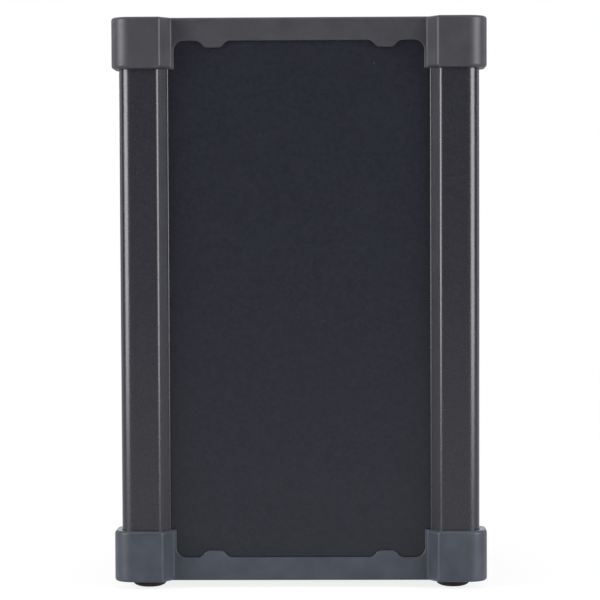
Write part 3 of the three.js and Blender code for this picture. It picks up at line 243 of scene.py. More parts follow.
def put(piece, turns=(0, 0, 0), place=(0, 0, 0)):
    """Turns and moves a piece, then writes its place into its mesh"""
    use(piece)
    piece.rotation_euler = turns
    piece.location = place
    bpy.ops.object.transform_apply(location=True, rotation=True, scale=True)
    return piece


def name_new(name):
    piece = bpy.context.active_object
    piece.name = name
    bpy.ops.object.transform_apply(location=True, rotation=True, scale=True)
    return piece


def add_block(name, low, high):
    """A block between two opposite corners"""
    bpy.ops.object.select_all(action="DESELECT")
    low, high = Vector(low), Vector(high)
    bpy.ops.mesh.primitive_cube_add(size=1, location=(low + high) / 2)
    bpy.context.active_object.scale = high - low
    return name_new(name)


def add_bar(name, radius, low, high, centre=(0, 0), sides=48):
    """An upright round bar"""
    bpy.ops.object.select_all(action="DESELECT")
    place = (centre[0], centre[1], (low + high) / 2)
    bpy.ops.mesh.primitive_cylinder_add(vertices=sides, radius=radius, depth=high - low, location=place)
    return name_new(name)


def copy_of(piece, name):
    """A copy with a mesh of its own"""
    twin = piece.copy()
    twin.data = piece.data.copy()
    twin.name = name
    scene.collection.objects.link(twin)
    return twin


# %% Moves for edges and faces
def pick_edges(piece, test, sharpest=radians(20)):
    """Selects the sharp edges that pass a test on their middle and direction"""
    use(piece)
    bpy.ops.object.mode_set(mode="EDIT")
    bpy.ops.mesh.select_mode(type="EDGE")
    bpy.ops.mesh.select_all(action="DESELECT")
    mesh = bmesh.from_edit_mesh(piece.data)
    count = 0
    for edge in mesh.edges:
        start, end = (corner.co for corner in edge.verts)
        if edge.calc_face_angle(0) > sharpest and test((start + end) / 2, (end - start).normalized()):
            edge.select_set(True)
            count += 1
    bmesh.update_edit_mesh(piece.data)
    return count


def round_edges(piece, radius, segments, test):
    """Rounds the picked edges; one segment cuts them flat"""
    if pick_edges(piece, test):
        bpy.ops.mesh.bevel(offset=radius, segments=segments, affect="EDGES")
    bpy.ops.object.mode_set(mode="OBJECT")
    return piece


def pick_faces(piece, test):
    """Selects the faces that pass a test on their middle and normal, and stays in edit mode"""
    use(piece)
    bpy.ops.object.mode_set(mode="EDIT")
    bpy.ops.mesh.select_mode(type="FACE")
    bpy.ops.mesh.select_all(action="DESELECT")
    mesh = bmesh.from_edit_mesh(piece.data)
    for face in mesh.faces:
        face.select_set(test(face.calc_center_median(), face.normal))
    bmesh.update_edit_mesh(piece.data)


def upright(middle, along):
    return abs(along.z) > 0.99


def at_line(first, first_place, second, second_place):
    """A test for upright edges at one place along two of the axes"""
    def test(middle, along):
        at_first = abs(middle[first] - first_place) < near
        at_second = abs(middle[second] - second_place) < near
        return upright(middle, along) and at_first and at_second
    return test


def combine(piece, others, operation):
    for other in others:
        modifier = piece.modifiers.new(operation.lower(), "BOOLEAN")
        modifier.operation = operation
        modifier.solver = "EXACT"
        modifier.object = other
        use(piece)
        bpy.ops.object.modifier_apply(modifier=modifier.name)
        bpy.data.objects.remove(other)
    return piece


def cut_away(piece, *cutters):
    return combine(piece, cutters, "DIFFERENCE")


def weld_on(piece, *others):
    return combine(piece, others, "UNION")


def gather(name, parts):
    """Joins loose parts into one piece without welding them"""
    use(parts[0])
    for part in parts[1:]:
        part.select_set(True)
    if len(parts) > 1:
        bpy.ops.object.join()
    parts[0].name = name
    return parts[0]


# %% Moves for finishing a mesh
def mark_edges(piece, width, widest, test):
    """Gives the picked edges a rounding width, as a share of the widest"""
    pick_edges(piece, test)
    mesh = bmesh.from_edit_mesh(piece.data)
    weights = mesh.edges.layers.float.get("bevel_weight_edge")
    if weights is None:
        weights = mesh.edges.layers.float.new("bevel_weight_edge")
    for edge in mesh.edges:
        if edge.select:
            edge[weights] = width / widest
    bmesh.update_edit_mesh(piece.data)
    bpy.ops.object.mode_set(mode="OBJECT")


def soften(piece, width, segments=3, marked=False, sharper_than=35):
    """Rounds all sharp edges, or only the marked ones, with a bevel modifier

    Clamping would narrow every rounding to suit the tightest spot, so it is off for
    marked edges, whose widths are chosen to fit beside each other.
    """
    use(piece)
    modifier = piece.modifiers.new("rounding", "BEVEL")
    modifier.width = width
    modifier.segments = segments
    modifier.limit_method = "WEIGHT" if marked else "ANGLE"
    modifier.angle_limit = radians(sharper_than)
    modifier.use_clamp_overlap = not marked
    bpy.ops.object.modifier_apply(modifier=modifier.name)
    return piece


def merge_close_points(piece):
    """Merges the points that a cut left almost on top of each other"""
    use(piece)
    bpy.ops.object.mode_set(mode="EDIT")
    bpy.ops.mesh.select_mode(type="VERT")
    bpy.ops.mesh.select_all(action="SELECT")
    bpy.ops.mesh.remove_doubles(threshold=0.002 * mm)
    bpy.ops.object.mode_set(mode="OBJECT")
    return piece


def smooth(piece, sharper_than=38):
    """Smooth shading that keeps flat faces flat"""
    use(piece)
    bpy.ops.object.shade_smooth_by_angle(angle=radians(sharper_than))
    modifier = piece.modifiers.new("flat_faces", "WEIGHTED_NORMAL")
    modifier.keep_sharp = True
    bpy.ops.object.modifier_apply(modifier=modifier.name)
    return piece


def dress(piece, finish, body, slot, *nodes):
    """Gives a piece its finish and the body that it rides on, and hides the nodes that it stands for"""
    smooth(piece)
    piece.data.materials.clear()
    piece.data.materials.append(finish)
    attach(piece, body)
    if nodes:
        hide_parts(*nodes)
    print(piece.name, "faces:", len(piece.data.polygons))
    return piece


def dress_node(name, finish):
    """Gives a working model's node a better finish"""
    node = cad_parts[name]
    if not node.material_slots:
        node.data.materials.append(finish)
    node.material_slots[0].material = finish


# %% Moves for turned pieces
def turn_profile(name, profile, steps=72):
    """A round piece about Z, spun from its half outline of (radius, height) points"""
    bpy.ops.object.select_all(action="DESELECT")
    first_radius, first_height = profile[0]
    bpy.ops.mesh.primitive_plane_add(size=mm, location=(first_radius, 0, first_height))
    piece = name_new(name)
    bpy.ops.object.mode_set(mode="EDIT")
    bpy.ops.mesh.select_mode(type="VERT")
    bpy.ops.mesh.select_all(action="SELECT")
    bpy.ops.mesh.merge(type="CENTER")
    for (radius, height), (next_radius, next_height) in zip(profile, profile[1:]):
        step = (next_radius - radius, 0, next_height - height)
        bpy.ops.mesh.extrude_region_move(TRANSFORM_OT_translate={"value": step})
    bpy.ops.mesh.select_all(action="SELECT")
    bpy.ops.mesh.spin(steps=steps, angle=2 * pi, center=(0, 0, 0), axis=(0, 0, 1))
    bpy.ops.mesh.select_all(action="SELECT")
    bpy.ops.mesh.remove_doubles(threshold=0.001 * mm)
    bpy.ops.mesh.normals_make_consistent(inside=False)
    bpy.ops.object.mode_set(mode="OBJECT")
    return piece


print("moves ready")

# %% [markdown]
# Every finish is a small graph of shader nodes. A picture of the surface could be wrapped
# round each piece, but procedural noise needs no unwrapping and stays sharp at any size.
# Colours are written as they look on screen and changed to the linear values that the
# renderer works in. Patterns read Object coordinates, which here are metres in the machine.

# %% Tools for finishes
def linear(level):
    share = level / 255
    return share / 12.92 if share <= 0.04045 else ((share + 0.055) / 1.055) ** 2.4


def tone(red, green, blue):
    return (linear(red), linear(green), linear(blue), 1)


def new_finish(name, colour, roughness, metallic=0.0, **sockets):
    finish = bpy.data.materials.new(name)
    finish.use_nodes = True
    shader = finish.node_tree.nodes["Principled BSDF"]
    shader.inputs["Base Color"].default_value = colour
    shader.inputs["Roughness"].default_value = roughness
    shader.inputs["Metallic"].default_value = metallic
    for socket, value in sockets.items():
        shader.inputs[socket.replace("_", " ")].default_value = value
    return finish


def shader_of(finish):
    return finish.node_tree.nodes["Principled BSDF"]


def place_of(finish, stretch=(1, 1, 1), centre=(0, 0, 0)):
    """Object coordinates, moved to a centre and stretched along each axis"""
    nodes, links = finish.node_tree.nodes, finish.node_tree.links
    source = nodes.new("ShaderNodeTexCoord")
    mapping = nodes.new("ShaderNodeMapping")
    mapping.inputs["Location"].default_value = [-c * s for c, s in zip(centre, stretch)]
    mapping.inputs["Scale"].default_value = stretch
    links.new(source.outputs["Object"], mapping.inputs["Vector"])
    return mapping.outputs["Vector"]


def noise_of(finish, size, detail=2.0, roughness=0.5, vector=None):
    """Cloudy noise whose lumps are about one size across, in metres"""
    nodes, links = finish.node_tree.nodes, finish.node_tree.links
    noise = nodes.new("ShaderNodeTexNoise")
    noise.inputs["Scale"].default_value = 1 / size
    noise.inputs["Detail"].default_value = detail
    noise.inputs["Roughness"].default_value = roughness
    links.new(vector or place_of(finish), noise.inputs["Vector"])
    return noise.outputs["Fac"]


def vary_colour(finish, pattern, dark, light, low=0.35, high=0.65):
    """Colour that runs from dark to light with a pattern"""
    nodes, links = finish.node_tree.nodes, finish.node_tree.links
    ramp = nodes.new("ShaderNodeValToRGB")
    ramp.color_ramp.elements[0].position = low
    ramp.color_ramp.elements[0].color = dark
    ramp.color_ramp.elements[1].position = high
    ramp.color_ramp.elements[1].color = light
    links.new(pattern, ramp.inputs["Fac"])
    links.new(ramp.outputs["Color"], shader_of(finish).inputs["Base Color"])
    return ramp


def vary_roughness(finish, pattern, low, high):
    nodes, links = finish.node_tree.nodes, finish.node_tree.links
    spread = nodes.new("ShaderNodeMapRange")
    spread.inputs["From Min"].default_value = 0.3
    spread.inputs["From Max"].default_value = 0.7
    spread.inputs["To Min"].default_value = low
    spread.inputs["To Max"].default_value = high
    links.new(pattern, spread.inputs["Value"])
    links.new(spread.outputs["Result"], shader_of(finish).inputs["Roughness"])


def add_bump(finish, pattern, height, strength=1.0):
    """A relief of the given height, in metres, laid over any bump that is there"""
    nodes, links = finish.node_tree.nodes, finish.node_tree.links
    normal = shader_of(finish).inputs["Normal"]
    below = normal.links[0].from_socket if normal.links else None
    bump = nodes.new("ShaderNodeBump")
    bump.inputs["Strength"].default_value = strength
    bump.inputs["Distance"].default_value = height
    links.new(pattern, bump.inputs["Height"])
    if below:
        links.new(below, bump.inputs["Normal"])
    links.new(bump.outputs["Normal"], normal)


# %% [markdown]
# The posts are extruded aluminium under a smooth satin coat. The panels wear a powder coat,
# whose tiny orange peel breaks up every reflection. The caps are moulded, so they have a fine
# spark-eroded grain. All three are nearly the same dark grey, and the grain and the gloss are
# what tell them apart, so each gets its own sizes of noise.

# %% Coats of the case
def make_coat(name, colour, roughness, clouds, tones, gloss, gloss_range, grain, relief, specular=0.5):
    """A coat from three noises: clouds of colour, slow changes of gloss and a fine grain

    Clouds, gloss and grain are each a size with its detail, and relief is a height and a strength.
    """
    finish = new_finish(name, colour, roughness, Specular_IOR_Level=specular)
    vary_colour(finish, noise_of(finish, *clouds), *tones)
    vary_roughness(finish, noise_of(finish, *gloss), *gloss_range)
    add_bump(finish, noise_of(finish, *grain), *relief)
    return finish


def make_cap_plastic(name, dark, light):
    return make_coat(
        name, light, 0.4, specular=0.4,
        clouds=(14 * mm, 5, 0.6), tones=(dark, light),
        gloss=(5 * mm, 3), gloss_range=(0.36, 0.44),
        grain=(0.5 * mm, 1), relief=(0.014 * mm, 0.5),
    )


post_coat = make_coat(
    "satin_post_coat", tone(33, 33, 41), 0.24, specular=0.65,
    clouds=(1.6 * mm, 3), tones=(tone(31, 31, 39), tone(35, 35, 43)),
    gloss=(12 * mm, 1), gloss_range=(0.225, 0.245),
    grain=(0.7 * mm, 2), relief=(0.005 * mm, 0.12),
)
panel_coat = make_coat(
    "powder_coated_panel", tone(29, 31, 40), 0.25, specular=0.4,
    clouds=(2.2 * mm, 4, 0.6), tones=(tone(26, 28, 37), tone(32, 34, 43)),
    gloss=(24 * mm, 3), gloss_range=(0.22, 0.28),
    grain=(0.55 * mm, 2), relief=(0.03 * mm, 0.6),
)
sheet_coat = make_coat(
    "coated_sheet", tone(42, 43, 49), 0.5, specular=0.2,
    clouds=(3 * mm, 4), tones=(tone(38, 39, 44), tone(47, 48, 54)),
    gloss=(18 * mm, 3), gloss_range=(0.45, 0.58),
    grain=(0.6 * mm,), relief=(0.03 * mm, 0.6),
)
foot_rubber = make_coat(
    "foot_rubber", tone(44, 41, 43), 0.7, specular=0.3,
    clouds=(2 * mm, 4), tones=(tone(39, 36, 38), tone(50, 46, 48)),
    gloss=(3 * mm,), gloss_range=(0.7, 0.9),
    grain=(0.4 * mm,), relief=(0.04 * mm, 0.7),
)
cap_plastic = make_cap_plastic("moulded_cap_plastic", tone(56, 55, 60), tone(64, 63, 68))
# Painted light: the bottom cap takes a lighter, bluer copy of the cap plastic, which stands in for the cool
# light that the white table throws up onto it.
cap_plastic_painted_bounce = make_cap_plastic("cap_plastic_painted_table_light", tone(58, 62, 72), tone(67, 72, 82))
coats = (post_coat, panel_coat, cap_plastic, cap_plastic_painted_bounce, sheet_coat, foot_rubber)
print("coats:", [coat.name for coat in coats])

# %% [markdown]
# Bare metal shows how it was worked. Turned parts carry fine rings round their axis, brushed
# parts carry straight lines, and zinc-plated sheet has large soft crystals. Rings are made from
# the distance to the axis, fed to noise as a single coordinate.

# %% Metals
def rings_of(finish, centre, size):
    """Noise that changes only with the distance from an upright axis"""
    nodes, links = finish.node_tree.nodes, finish.node_tree.links
    flat = place_of(finish, stretch=(1, 1, 0), centre=(centre[0], centre[1], 0))
    distance = nodes.new("ShaderNodeVectorMath")
    distance.operation = "LENGTH"
    links.new(flat, distance.inputs[0])
    noise = nodes.new("ShaderNodeTexNoise")
    noise.noise_dimensions = "1D"
    noise.inputs["Scale"].default_value = 1 / size
    noise.inputs["Detail"].default_value = 3
    links.new(distance.outputs["Value"], noise.inputs["W"])
    return noise.outputs["Fac"], distance.outputs["Value"]


def make_brushed_steel(name, stretch):
    finish = new_finish(name, tone(196, 197, 200), 0.3, metallic=1.0)
    lines = noise_of(finish, 1.0, detail=3, vector=place_of(finish, stretch=stretch))
    vary_colour(finish, lines, tone(176, 177, 180), tone(212, 213, 216))
    vary_roughness(finish, lines, 0.24, 0.4)
    add_bump(finish, lines, 0.01 * mm, 0.5)
    return finish


def make_turned_steel(centre, hot_radius, cool_radius):
    """Turned steel with a straw and blue heat tint near the hot bore"""
    clean = tone(200, 201, 204)
    burnt = tone(104, 98, 104)
    blue, straw, pale = tone(120, 116, 134), tone(176, 158, 134), tone(196, 190, 178)
    finish = new_finish("turned_steel", clean, 0.28, metallic=1.0)
    nodes, links = finish.node_tree.nodes, finish.node_tree.links
    rings, distance = rings_of(finish, centre, 0.35 * mm)
    warmth = nodes.new("ShaderNodeMapRange")
    warmth.inputs["From Min"].default_value = hot_radius
    warmth.inputs["From Max"].default_value = cool_radius
    links.new(distance, warmth.inputs["Value"])
    ramp = vary_colour(finish, warmth.outputs["Result"], burnt, clean, 0.0, 1.0)
    for position, colour in ((0.25, blue), (0.45, straw), (0.7, pale)):
        ramp.color_ramp.elements.new(position).color = colour
    vary_roughness(finish, rings, 0.2, 0.38)
    add_bump(finish, rings, 0.012 * mm, 0.6)
    return finish


def make_zinc():
    finish = new_finish("zinc_plated_sheet", tone(160, 163, 167), 0.42, metallic=0.9)
    nodes, links = finish.node_tree.nodes, finish.node_tree.links
    crystals = nodes.new("ShaderNodeTexVoronoi")
    crystals.inputs["Scale"].default_value = 1 / (7 * mm)
    links.new(place_of(finish), crystals.inputs["Vector"])
    vary_colour(finish, crystals.outputs["Distance"], tone(150, 154, 158), tone(178, 181, 184), 0.1, 0.8)
    vary_roughness(finish, noise_of(finish, 6 * mm, detail=4), 0.34, 0.5)
    add_bump(finish, noise_of(finish, 1.2 * mm), 0.01 * mm, 0.4)
    return finish


outlet_low, outlet_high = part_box("outlet_ring")
outlet_centre = (outlet_low + outlet_high) / 2
bright_steel = make_brushed_steel("brushed_steel", (40, 1500, 1500))
upright_steel = make_brushed_steel("drawn_steel", (900, 900, 30))
turned_steel = make_turned_steel(outlet_centre, 14 * mm, 29 * mm)
zinc_sheet = make_zinc()
print("outlet centre", [round(value, 4) for value in outlet_centre])

# %% [markdown]
# The small parts are plastics. A glossy black needs almost no pattern to look real, only a
# little uneven gloss, as a fingertip leaves. The circuit board has copper tracks under its
# green mask, the insulation is a woven glass cloth, and the display pane is smoked glass.

# %% Plastics, board, cloth and glass
def make_plastic(name, dark, light, roughness):
    return make_coat(
        name, light, roughness,
        clouds=(6 * mm, 4), tones=(dark, light),
        gloss=(4 * mm, 3), gloss_range=(roughness - 0.05, roughness + 0.07),
        grain=(0.5 * mm,), relief=(0.01 * mm, 0.4),
    )


def make_insulation():
    finish = new_finish("glass_cloth", tone(207, 201, 184), 0.92)
    nodes, links = finish.node_tree.nodes, finish.node_tree.links
    weave = nodes.new("ShaderNodeTexVoronoi")
    weave.inputs["Scale"].default_value = 1 / (1.6 * mm)
    weave.inputs["Randomness"].default_value = 0.35
    links.new(place_of(finish, stretch=(1, 1, 0.6)), weave.inputs["Vector"])
    vary_colour(finish, weave.outputs["Distance"], tone(218, 213, 198), tone(168, 160, 140), 0.1, 0.8)
    vary_roughness(finish, noise_of(finish, 2 * mm), 0.85, 0.97)
    add_bump(finish, weave.outputs["Distance"], 0.3 * mm, 0.5)
    return finish


def make_board():
    finish = new_finish("circuit_board", tone(26, 74, 44), 0.4)
    nodes, links = finish.node_tree.nodes, finish.node_tree.links
    tracks = nodes.new("ShaderNodeTexBrick")
    tracks.inputs["Scale"].default_value = 1 / (9 * mm)
    tracks.inputs["Mortar Size"].default_value = 0.03
    tracks.inputs["Color1"].default_value = tone(24, 68, 40)
    tracks.inputs["Color2"].default_value = tone(28, 78, 46)
    tracks.inputs["Mortar"].default_value = tone(52, 112, 66)
    links.new(place_of(finish), tracks.inputs["Vector"])
    links.new(tracks.outputs["Color"], shader_of(finish).inputs["Base Color"])
    vary_roughness(finish, noise_of(finish, 3 * mm), 0.32, 0.46)
    add_bump(finish, tracks.outputs["Fac"], 0.03 * mm, 0.5)
    return finish


def make_smoked_glass():
    finish = new_finish("smoked_pane", tone(16, 18, 21), 0.06, Alpha=0.4, IOR=1.49)
    vary_roughness(finish, noise_of(finish, 12 * mm, detail=3), 0.04, 0.1)
    vary_colour(finish, noise_of(finish, 20 * mm, detail=2), tone(13, 15, 18), tone(19, 21, 25))
    return finish


black_plastic = make_plastic("black_plastic", tone(22, 22, 25), tone(30, 30, 33), 0.42)
gloss_plastic = make_plastic("gloss_black_plastic", tone(17, 17, 20), tone(24, 24, 28), 0.25)
key_plastic = make_plastic("key_plastic", tone(192, 194, 199), tone(206, 208, 213), 0.4)
rocker_plastic = make_plastic("red_rocker_plastic", tone(128, 22, 18), tone(154, 28, 22), 0.32)
print_ink = make_plastic("white_print", tone(206, 206, 208), tone(224, 224, 226), 0.55)
segment_plastic = make_plastic("display_segment", tone(92, 90, 84), tone(112, 110, 104), 0.5)
insulation = make_insulation()
board = make_board()
smoked_glass = make_smoked_glass()
print("finishes made:", len(bpy.data.materials))

# %% [markdown]
# The outline of the case is a square with rounded corners, and each side steps in between
# its corners along a short slanted face. The outline could be typed as points, but it is the
# same form for the caps, for the pocket inside them and for the plates, so one block is
# made with sizes: rounded at its upright edges, with a slanted bite taken from each side.

# %% Block with the outline of the case
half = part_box("top_cap")[1].x
overrun = 1 * mm


def side_bite(depth_line, recess, half_mouth, slant, low, high):
    """A cutter for the front side: it narrows from its mouth to its floor"""
    mouth = half_mouth + overrun * slant / recess
    floor_y = depth_line + recess - half
    bite = add_block("bite", (-mouth, depth_line - half - overrun, low), (mouth, floor_y, high))
    pick_faces(bite, lambda middle, normal: normal.y > 0.9)
    narrowing = (half_mouth - slant) / mouth
    bpy.ops.transform.resize(value=(narrowing, 1, 1), center_override=(0, floor_y, 0))
    bpy.ops.object.mode_set(mode="OBJECT")
    return bite


def case_block(name, inset, corner_radius, flat_end, recess, low, high, slant=None):
    """A block whose sides run straight at each corner and step in between, over the slant's length"""
    reach = half - inset
    body = add_block(name, (-reach, -reach, low), (reach, reach, high))
    round_edges(body, corner_radius, 12, upright)
    bites = []
    for quarter in range(4):
        bite = side_bite(inset, recess, half - flat_end, slant or recess, low - overrun, high + overrun)
        bites.append(put(bite, turns=(0, 0, quarter * pi / 2)))
    return cut_away(body, gather("bites", bites))


print("half width", round(half, 4))

# %% [markdown]
# Each corner post is an aluminium extrusion: rounded outside, slanted beside the panels, with
# two slots that take the sheet edges. It could be drawn as one outline and extruded. Cutting it
# from a square bar shows how each face comes about, and the slanted edges can then be
# rounded just enough to catch the thin bright lines seen in the photograph.

# %% Corner posts
post_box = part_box("corner_post_front_left")
post_inset = post_box[0].x + half
post_end = post_box[1].x + half
post_radius = 8 * mm
post_bevel = 6.7 * mm
fit_gap = 0.3 * mm
front_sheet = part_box("front_panel")
slot_front = front_sheet[0].y + half - fit_gap
slot_back = front_sheet[1].y + half + fit_gap
slot_depth = 7 * mm
post_wall = 1.8 * mm
post_wall_end = slot_back + post_wall
post_land = 1.2 * mm


def slant_cutter(first, second, low, high):
    """Takes a long corner off the post beside a panel, and leaves a narrow land at its end"""
    run = post_bevel - post_land
    start, stop, floor = post_end - post_bevel - half, post_end - half, post_inset + run - half
    low_corner, high_corner, slide = [low - overrun] * 3, [high + overrun] * 3, [0, 0, 0]
    low_corner[first], high_corner[first] = start - overrun, stop + overrun
    low_corner[second], high_corner[second] = post_inset - half - overrun, floor
    slide[first] = run + overrun
    cutter = add_block("slant", low_corner, high_corner)
    pick_edges(cutter, at_line(first, start - overrun, second, floor))
    bpy.ops.transform.translate(value=slide)
    bpy.ops.object.mode_set(mode="OBJECT")
    return cutter


def make_post(name):
    """The front left post, measured from the corner of the caps"""
    low, high = post_box[0].z, post_box[1].z

    def from_corner(u, v, z):
        return (u - half, v - half, z)

    post = add_block(name, from_corner(post_inset, post_inset, low), from_corner(post_end, post_end, high))
    outer = post_inset - half
    ends = post_end - half
    round_edges(
        post, post_radius, 14,
        lambda middle, along: upright(middle, along) and middle.x < outer + mm and middle.y < outer + mm,
    )
    cut_away(post, slant_cutter(0, 1, low, high), slant_cutter(1, 0, low, high))
    inside = add_block(
        "inside",
        from_corner(post_wall_end, post_wall_end, low - overrun),
        from_corner(post_end + overrun, post_end + overrun, high + overrun),
    )
    front_slot = add_block(
        "front_slot",
        from_corner(post_end - slot_depth, slot_front, low - overrun),
        from_corner(post_end + overrun, slot_back, high + overrun),
    )
    side_slot = add_block(
        "side_slot",
        from_corner(slot_front, post_end - slot_depth, low - overrun),
        from_corner(slot_back, post_end + overrun, high + overrun),
    )
    cut_away(post, inside, front_slot, side_slot)
    slant_start = post_end - post_bevel - half
    land = post_inset + post_bevel - post_land - half
    slant_rounding, land_rounding, slot_rounding = 1.5 * mm, 1.0 * mm, 0.3 * mm
    for first, second in ((0, 1), (1, 0)):
        mark_edges(post, slant_rounding, slant_rounding, at_line(first, slant_start, second, outer))
        mark_edges(post, land_rounding, slant_rounding, at_line(first, ends, second, land))
        mark_edges(post, slot_rounding, slant_rounding, at_line(first, ends, second, slot_front - half))
    return soften(post, slant_rounding, segments=4, marked=True)


corner_names = ("front_left", "front_right", "rear_right", "rear_left")


def at_corners(first, ending):
    """The front left piece and a turned copy of it for each other corner"""
    pieces = [first]
    for quarter, corner in enumerate(corner_names[1:], start=1):
        pieces.append(put(copy_of(first, corner + ending), turns=(0, 0, quarter * pi / 2)))
    return zip(pieces, corner_names)


for post, corner in at_corners(make_post("front_left_post"), "_post"):
    dress(post, post_coat, "case", "post_coat", "corner_post_" + corner)

# %% [markdown]
# A cap is a deep moulded frame. Its four corner blocks reach down over the posts, and the rim
# between them is short, set back, and carries two small tabs on each side. The block with the
# case outline gives the outside, a smaller one is taken out as the pocket, and one cutter
# with rounded shoulders and two wedges left standing opens the rim on opposite sides.

# %% Shape of a cap
cap_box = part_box("top_cap")
block_height = cap_box[1].z - cap_box[0].z
cap_radius = 12 * mm
cap_face = 29.1 * mm
cap_slant = 6.1 * mm
rim_wall = 2.4 * mm
cap_recess = slot_front - rim_wall
rim_height = 13.8 * mm
leg_end = 36.8 * mm
leg_fillet = 5.8 * mm
leg_rounding = 0.8 * mm
tab_root = 17.7 * mm
tab_tip = 10 * mm
tab_drop = 4 * mm
tab_tip_rounding = 1.6 * mm
tab_root_fillet = 2.4 * mm
tab_inset = 23 * mm
outer_rounding = 2.2 * mm


def make_tab(centre, rim_edge):
    """The wedge that a tab leaves in the rim's cutter"""
    reach = half + 2 * overrun
    tab = add_block(
        "tab",
        (centre - tab_root / 2, -reach, rim_edge - tab_drop),
        (centre + tab_root / 2, reach, rim_edge + overrun),
    )
    pick_faces(tab, lambda middle, normal: normal.z < -0.9)
    tip_middle = (centre, 0, rim_edge - tab_drop)
    bpy.ops.transform.resize(value=(tab_tip / tab_root, 1, 1), center_override=tip_middle)
    bpy.ops.object.mode_set(mode="OBJECT")
    return round_edges(
        tab, tab_tip_rounding, 5,
        lambda middle, along: abs(along.y) > 0.99 and middle.z < rim_edge - tab_drop + near,
    )


def rim_cutter(low):
    """Opens the rim at the front and rear, between the corner blocks"""
    rim_edge = low + block_height - rim_height
    side = half - leg_end
    cutter = add_block("rim", (-side, -half - overrun, low - overrun), (side, half + overrun, rim_edge))
    round_edges(
        cutter, leg_fillet, 10,
        lambda middle, along: abs(along.y) > 0.99 and middle.z > rim_edge - near,
    )
    tabs = [make_tab(place, rim_edge) for place in (side - tab_inset, tab_inset - side)]
    cut_away(cutter, gather("tabs", tabs))
    return round_edges(
        cutter, tab_root_fillet, 5,
        lambda middle, along: abs(along.y) > 0.99 and abs(middle.z - rim_edge) < near
        and abs(middle.x) < side - leg_fillet - mm,
    )


def make_cap(name, web, frame_width, frame_radius=6 * mm):
    """A cap that stands on its corner blocks, from height zero"""
    high = block_height
    body = case_block(name, 0, cap_radius, cap_face, cap_recess, 0, high, slant=cap_slant)
    pocket_inset = post_inset - fit_gap
    pocket = case_block(
        "pocket", pocket_inset, post_radius + fit_gap, post_end - post_bevel + fit_gap / 2,
        slot_front - pocket_inset, -overrun, high - web,
    )
    opening_reach = half - frame_width
    opening = add_block(
        "opening",
        (-opening_reach, -opening_reach, high - web - overrun),
        (opening_reach, opening_reach, high + overrun),
    )
    round_edges(opening, frame_radius, 8, upright)
    cut_away(body, pocket, opening, rim_cutter(0), put(rim_cutter(0), turns=(0, 0, pi / 2)))
    leg_side = half - leg_end
    round_edges(
        body, leg_rounding, 4,
        lambda middle, along: middle.z < near
        and (abs(along.y) > 0.99 and abs(abs(middle.x) - leg_side) < near
             or abs(along.x) > 0.99 and abs(abs(middle.y) - leg_side) < near),
    )
    mark_cap_edges(body, high, opening_reach)
    return soften(body, outer_rounding, segments=4, marked=True)


def depth_of(point):
    """How far a point lies in from the nearest side of the case"""
    return half - max(abs(point.x), abs(point.y))


def on_cap_outline(point):
    """Whether a point is on the outside of a cap: its round corner, its flats, slants or rim"""
    depth, along = sorted((half - abs(point.x), half - abs(point.y)))
    if along < cap_radius:
        return abs(sqrt((cap_radius - depth) ** 2 + (cap_radius - along) ** 2) - cap_radius) < near
    share = min(max((along - cap_face) / cap_slant, 0), 1)
    return abs(depth - cap_recess * share) < near


def mark_cap_edges(body, high, opening_reach):
    """Marks each line of the cap with the rounding that the moulding has there"""
    def on_top(middle, along):
        return middle.z > high - near and depth_of(middle) < half - opening_reach - near

    def round_opening(middle, along):
        return middle.z > high - near and depth_of(middle) >= half - opening_reach - near

    def on_block_end(middle, along):
        return middle.z < near and on_cap_outline(middle) and depth_of(middle) < cap_recess - near

    def on_leg_end(middle, along):
        return middle.z < near and abs(depth_of(middle) - cap_recess) < near

    def on_contour(middle, along):
        flat = abs(depth_of(middle) - cap_recess) < near
        return flat and near < middle.z < high - near and in_window(middle)

    def in_window(middle):
        return min(abs(middle.x), abs(middle.y)) < half - leg_end + leg_rounding + near

    def slant_start(middle, along):
        side = min(abs(middle.x), abs(middle.y))
        return upright(middle, along) and abs(side - (half - cap_face)) < near and depth_of(middle) < near

    def slant_foot(middle, along):
        side = min(abs(middle.x), abs(middle.y))
        at_rim = abs(side - (half - cap_face - cap_slant)) < near
        return upright(middle, along) and at_rim and abs(depth_of(middle) - cap_recess) < near

    for width, test in (
        (1.8 * mm, on_top), (0.8 * mm, round_opening), (outer_rounding, on_block_end),
        (0.75 * mm, on_leg_end), (0.75 * mm, on_contour), (1.4 * mm, slant_start), (0.7 * mm, slant_foot),
    ):
        mark_edges(body, width, outer_rounding, test)


# %% Top and bottom caps
top_cap = make_cap("top_cap_moulding", web=8 * mm, frame_width=20 * mm)
put(top_cap, place=(0, 0, cap_box[0].z))
dress(top_cap, cap_plastic, "case", "cap_plastic", "top_cap")

bottom_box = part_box("bottom_cap")
bottom_cap = make_cap("bottom_cap_moulding", web=5 * mm, frame_width=34 * mm)
put(bottom_cap, turns=(pi, 0, 0), place=(0, 0, bottom_box[1].z))
# The bottom cap's lighter, bluer tone is painted light from the table below, not a different plastic.
dress(bottom_cap, cap_plastic_painted_bounce, "case", "cap_plastic", "bottom_cap")

# %% [markdown]
# The front panel is one flat sheet, so its working solid is already right and only takes its
# coat. The side panels need smooth-ended slots to let the warm air out, and the rear panel
# carries every hole of the devices behind it. Each is a block with its holes cut at once.

# %% Panels
panel_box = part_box("front_panel")
panel_thickness = panel_box[1].y - panel_box[0].y
panel_out = -panel_box[0].y
base_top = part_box("base_plate")[1].z
vent_length = 76 * mm
vent_width = 4 * mm
vent_pitch = 10 * mm
vent_rise = 36 * mm
side_turns = {"front": 0, "right": pi / 2, "rear": pi, "left": -pi / 2}


def to_side(piece, side):
    """Stands a piece on one side: it was made with x across, y up and z out of the panel's face"""
    turn = side_turns[side]
    return put(piece, turns=(pi / 2, 0, turn), place=(panel_out * sin(turn), -panel_out * cos(turn), 0))


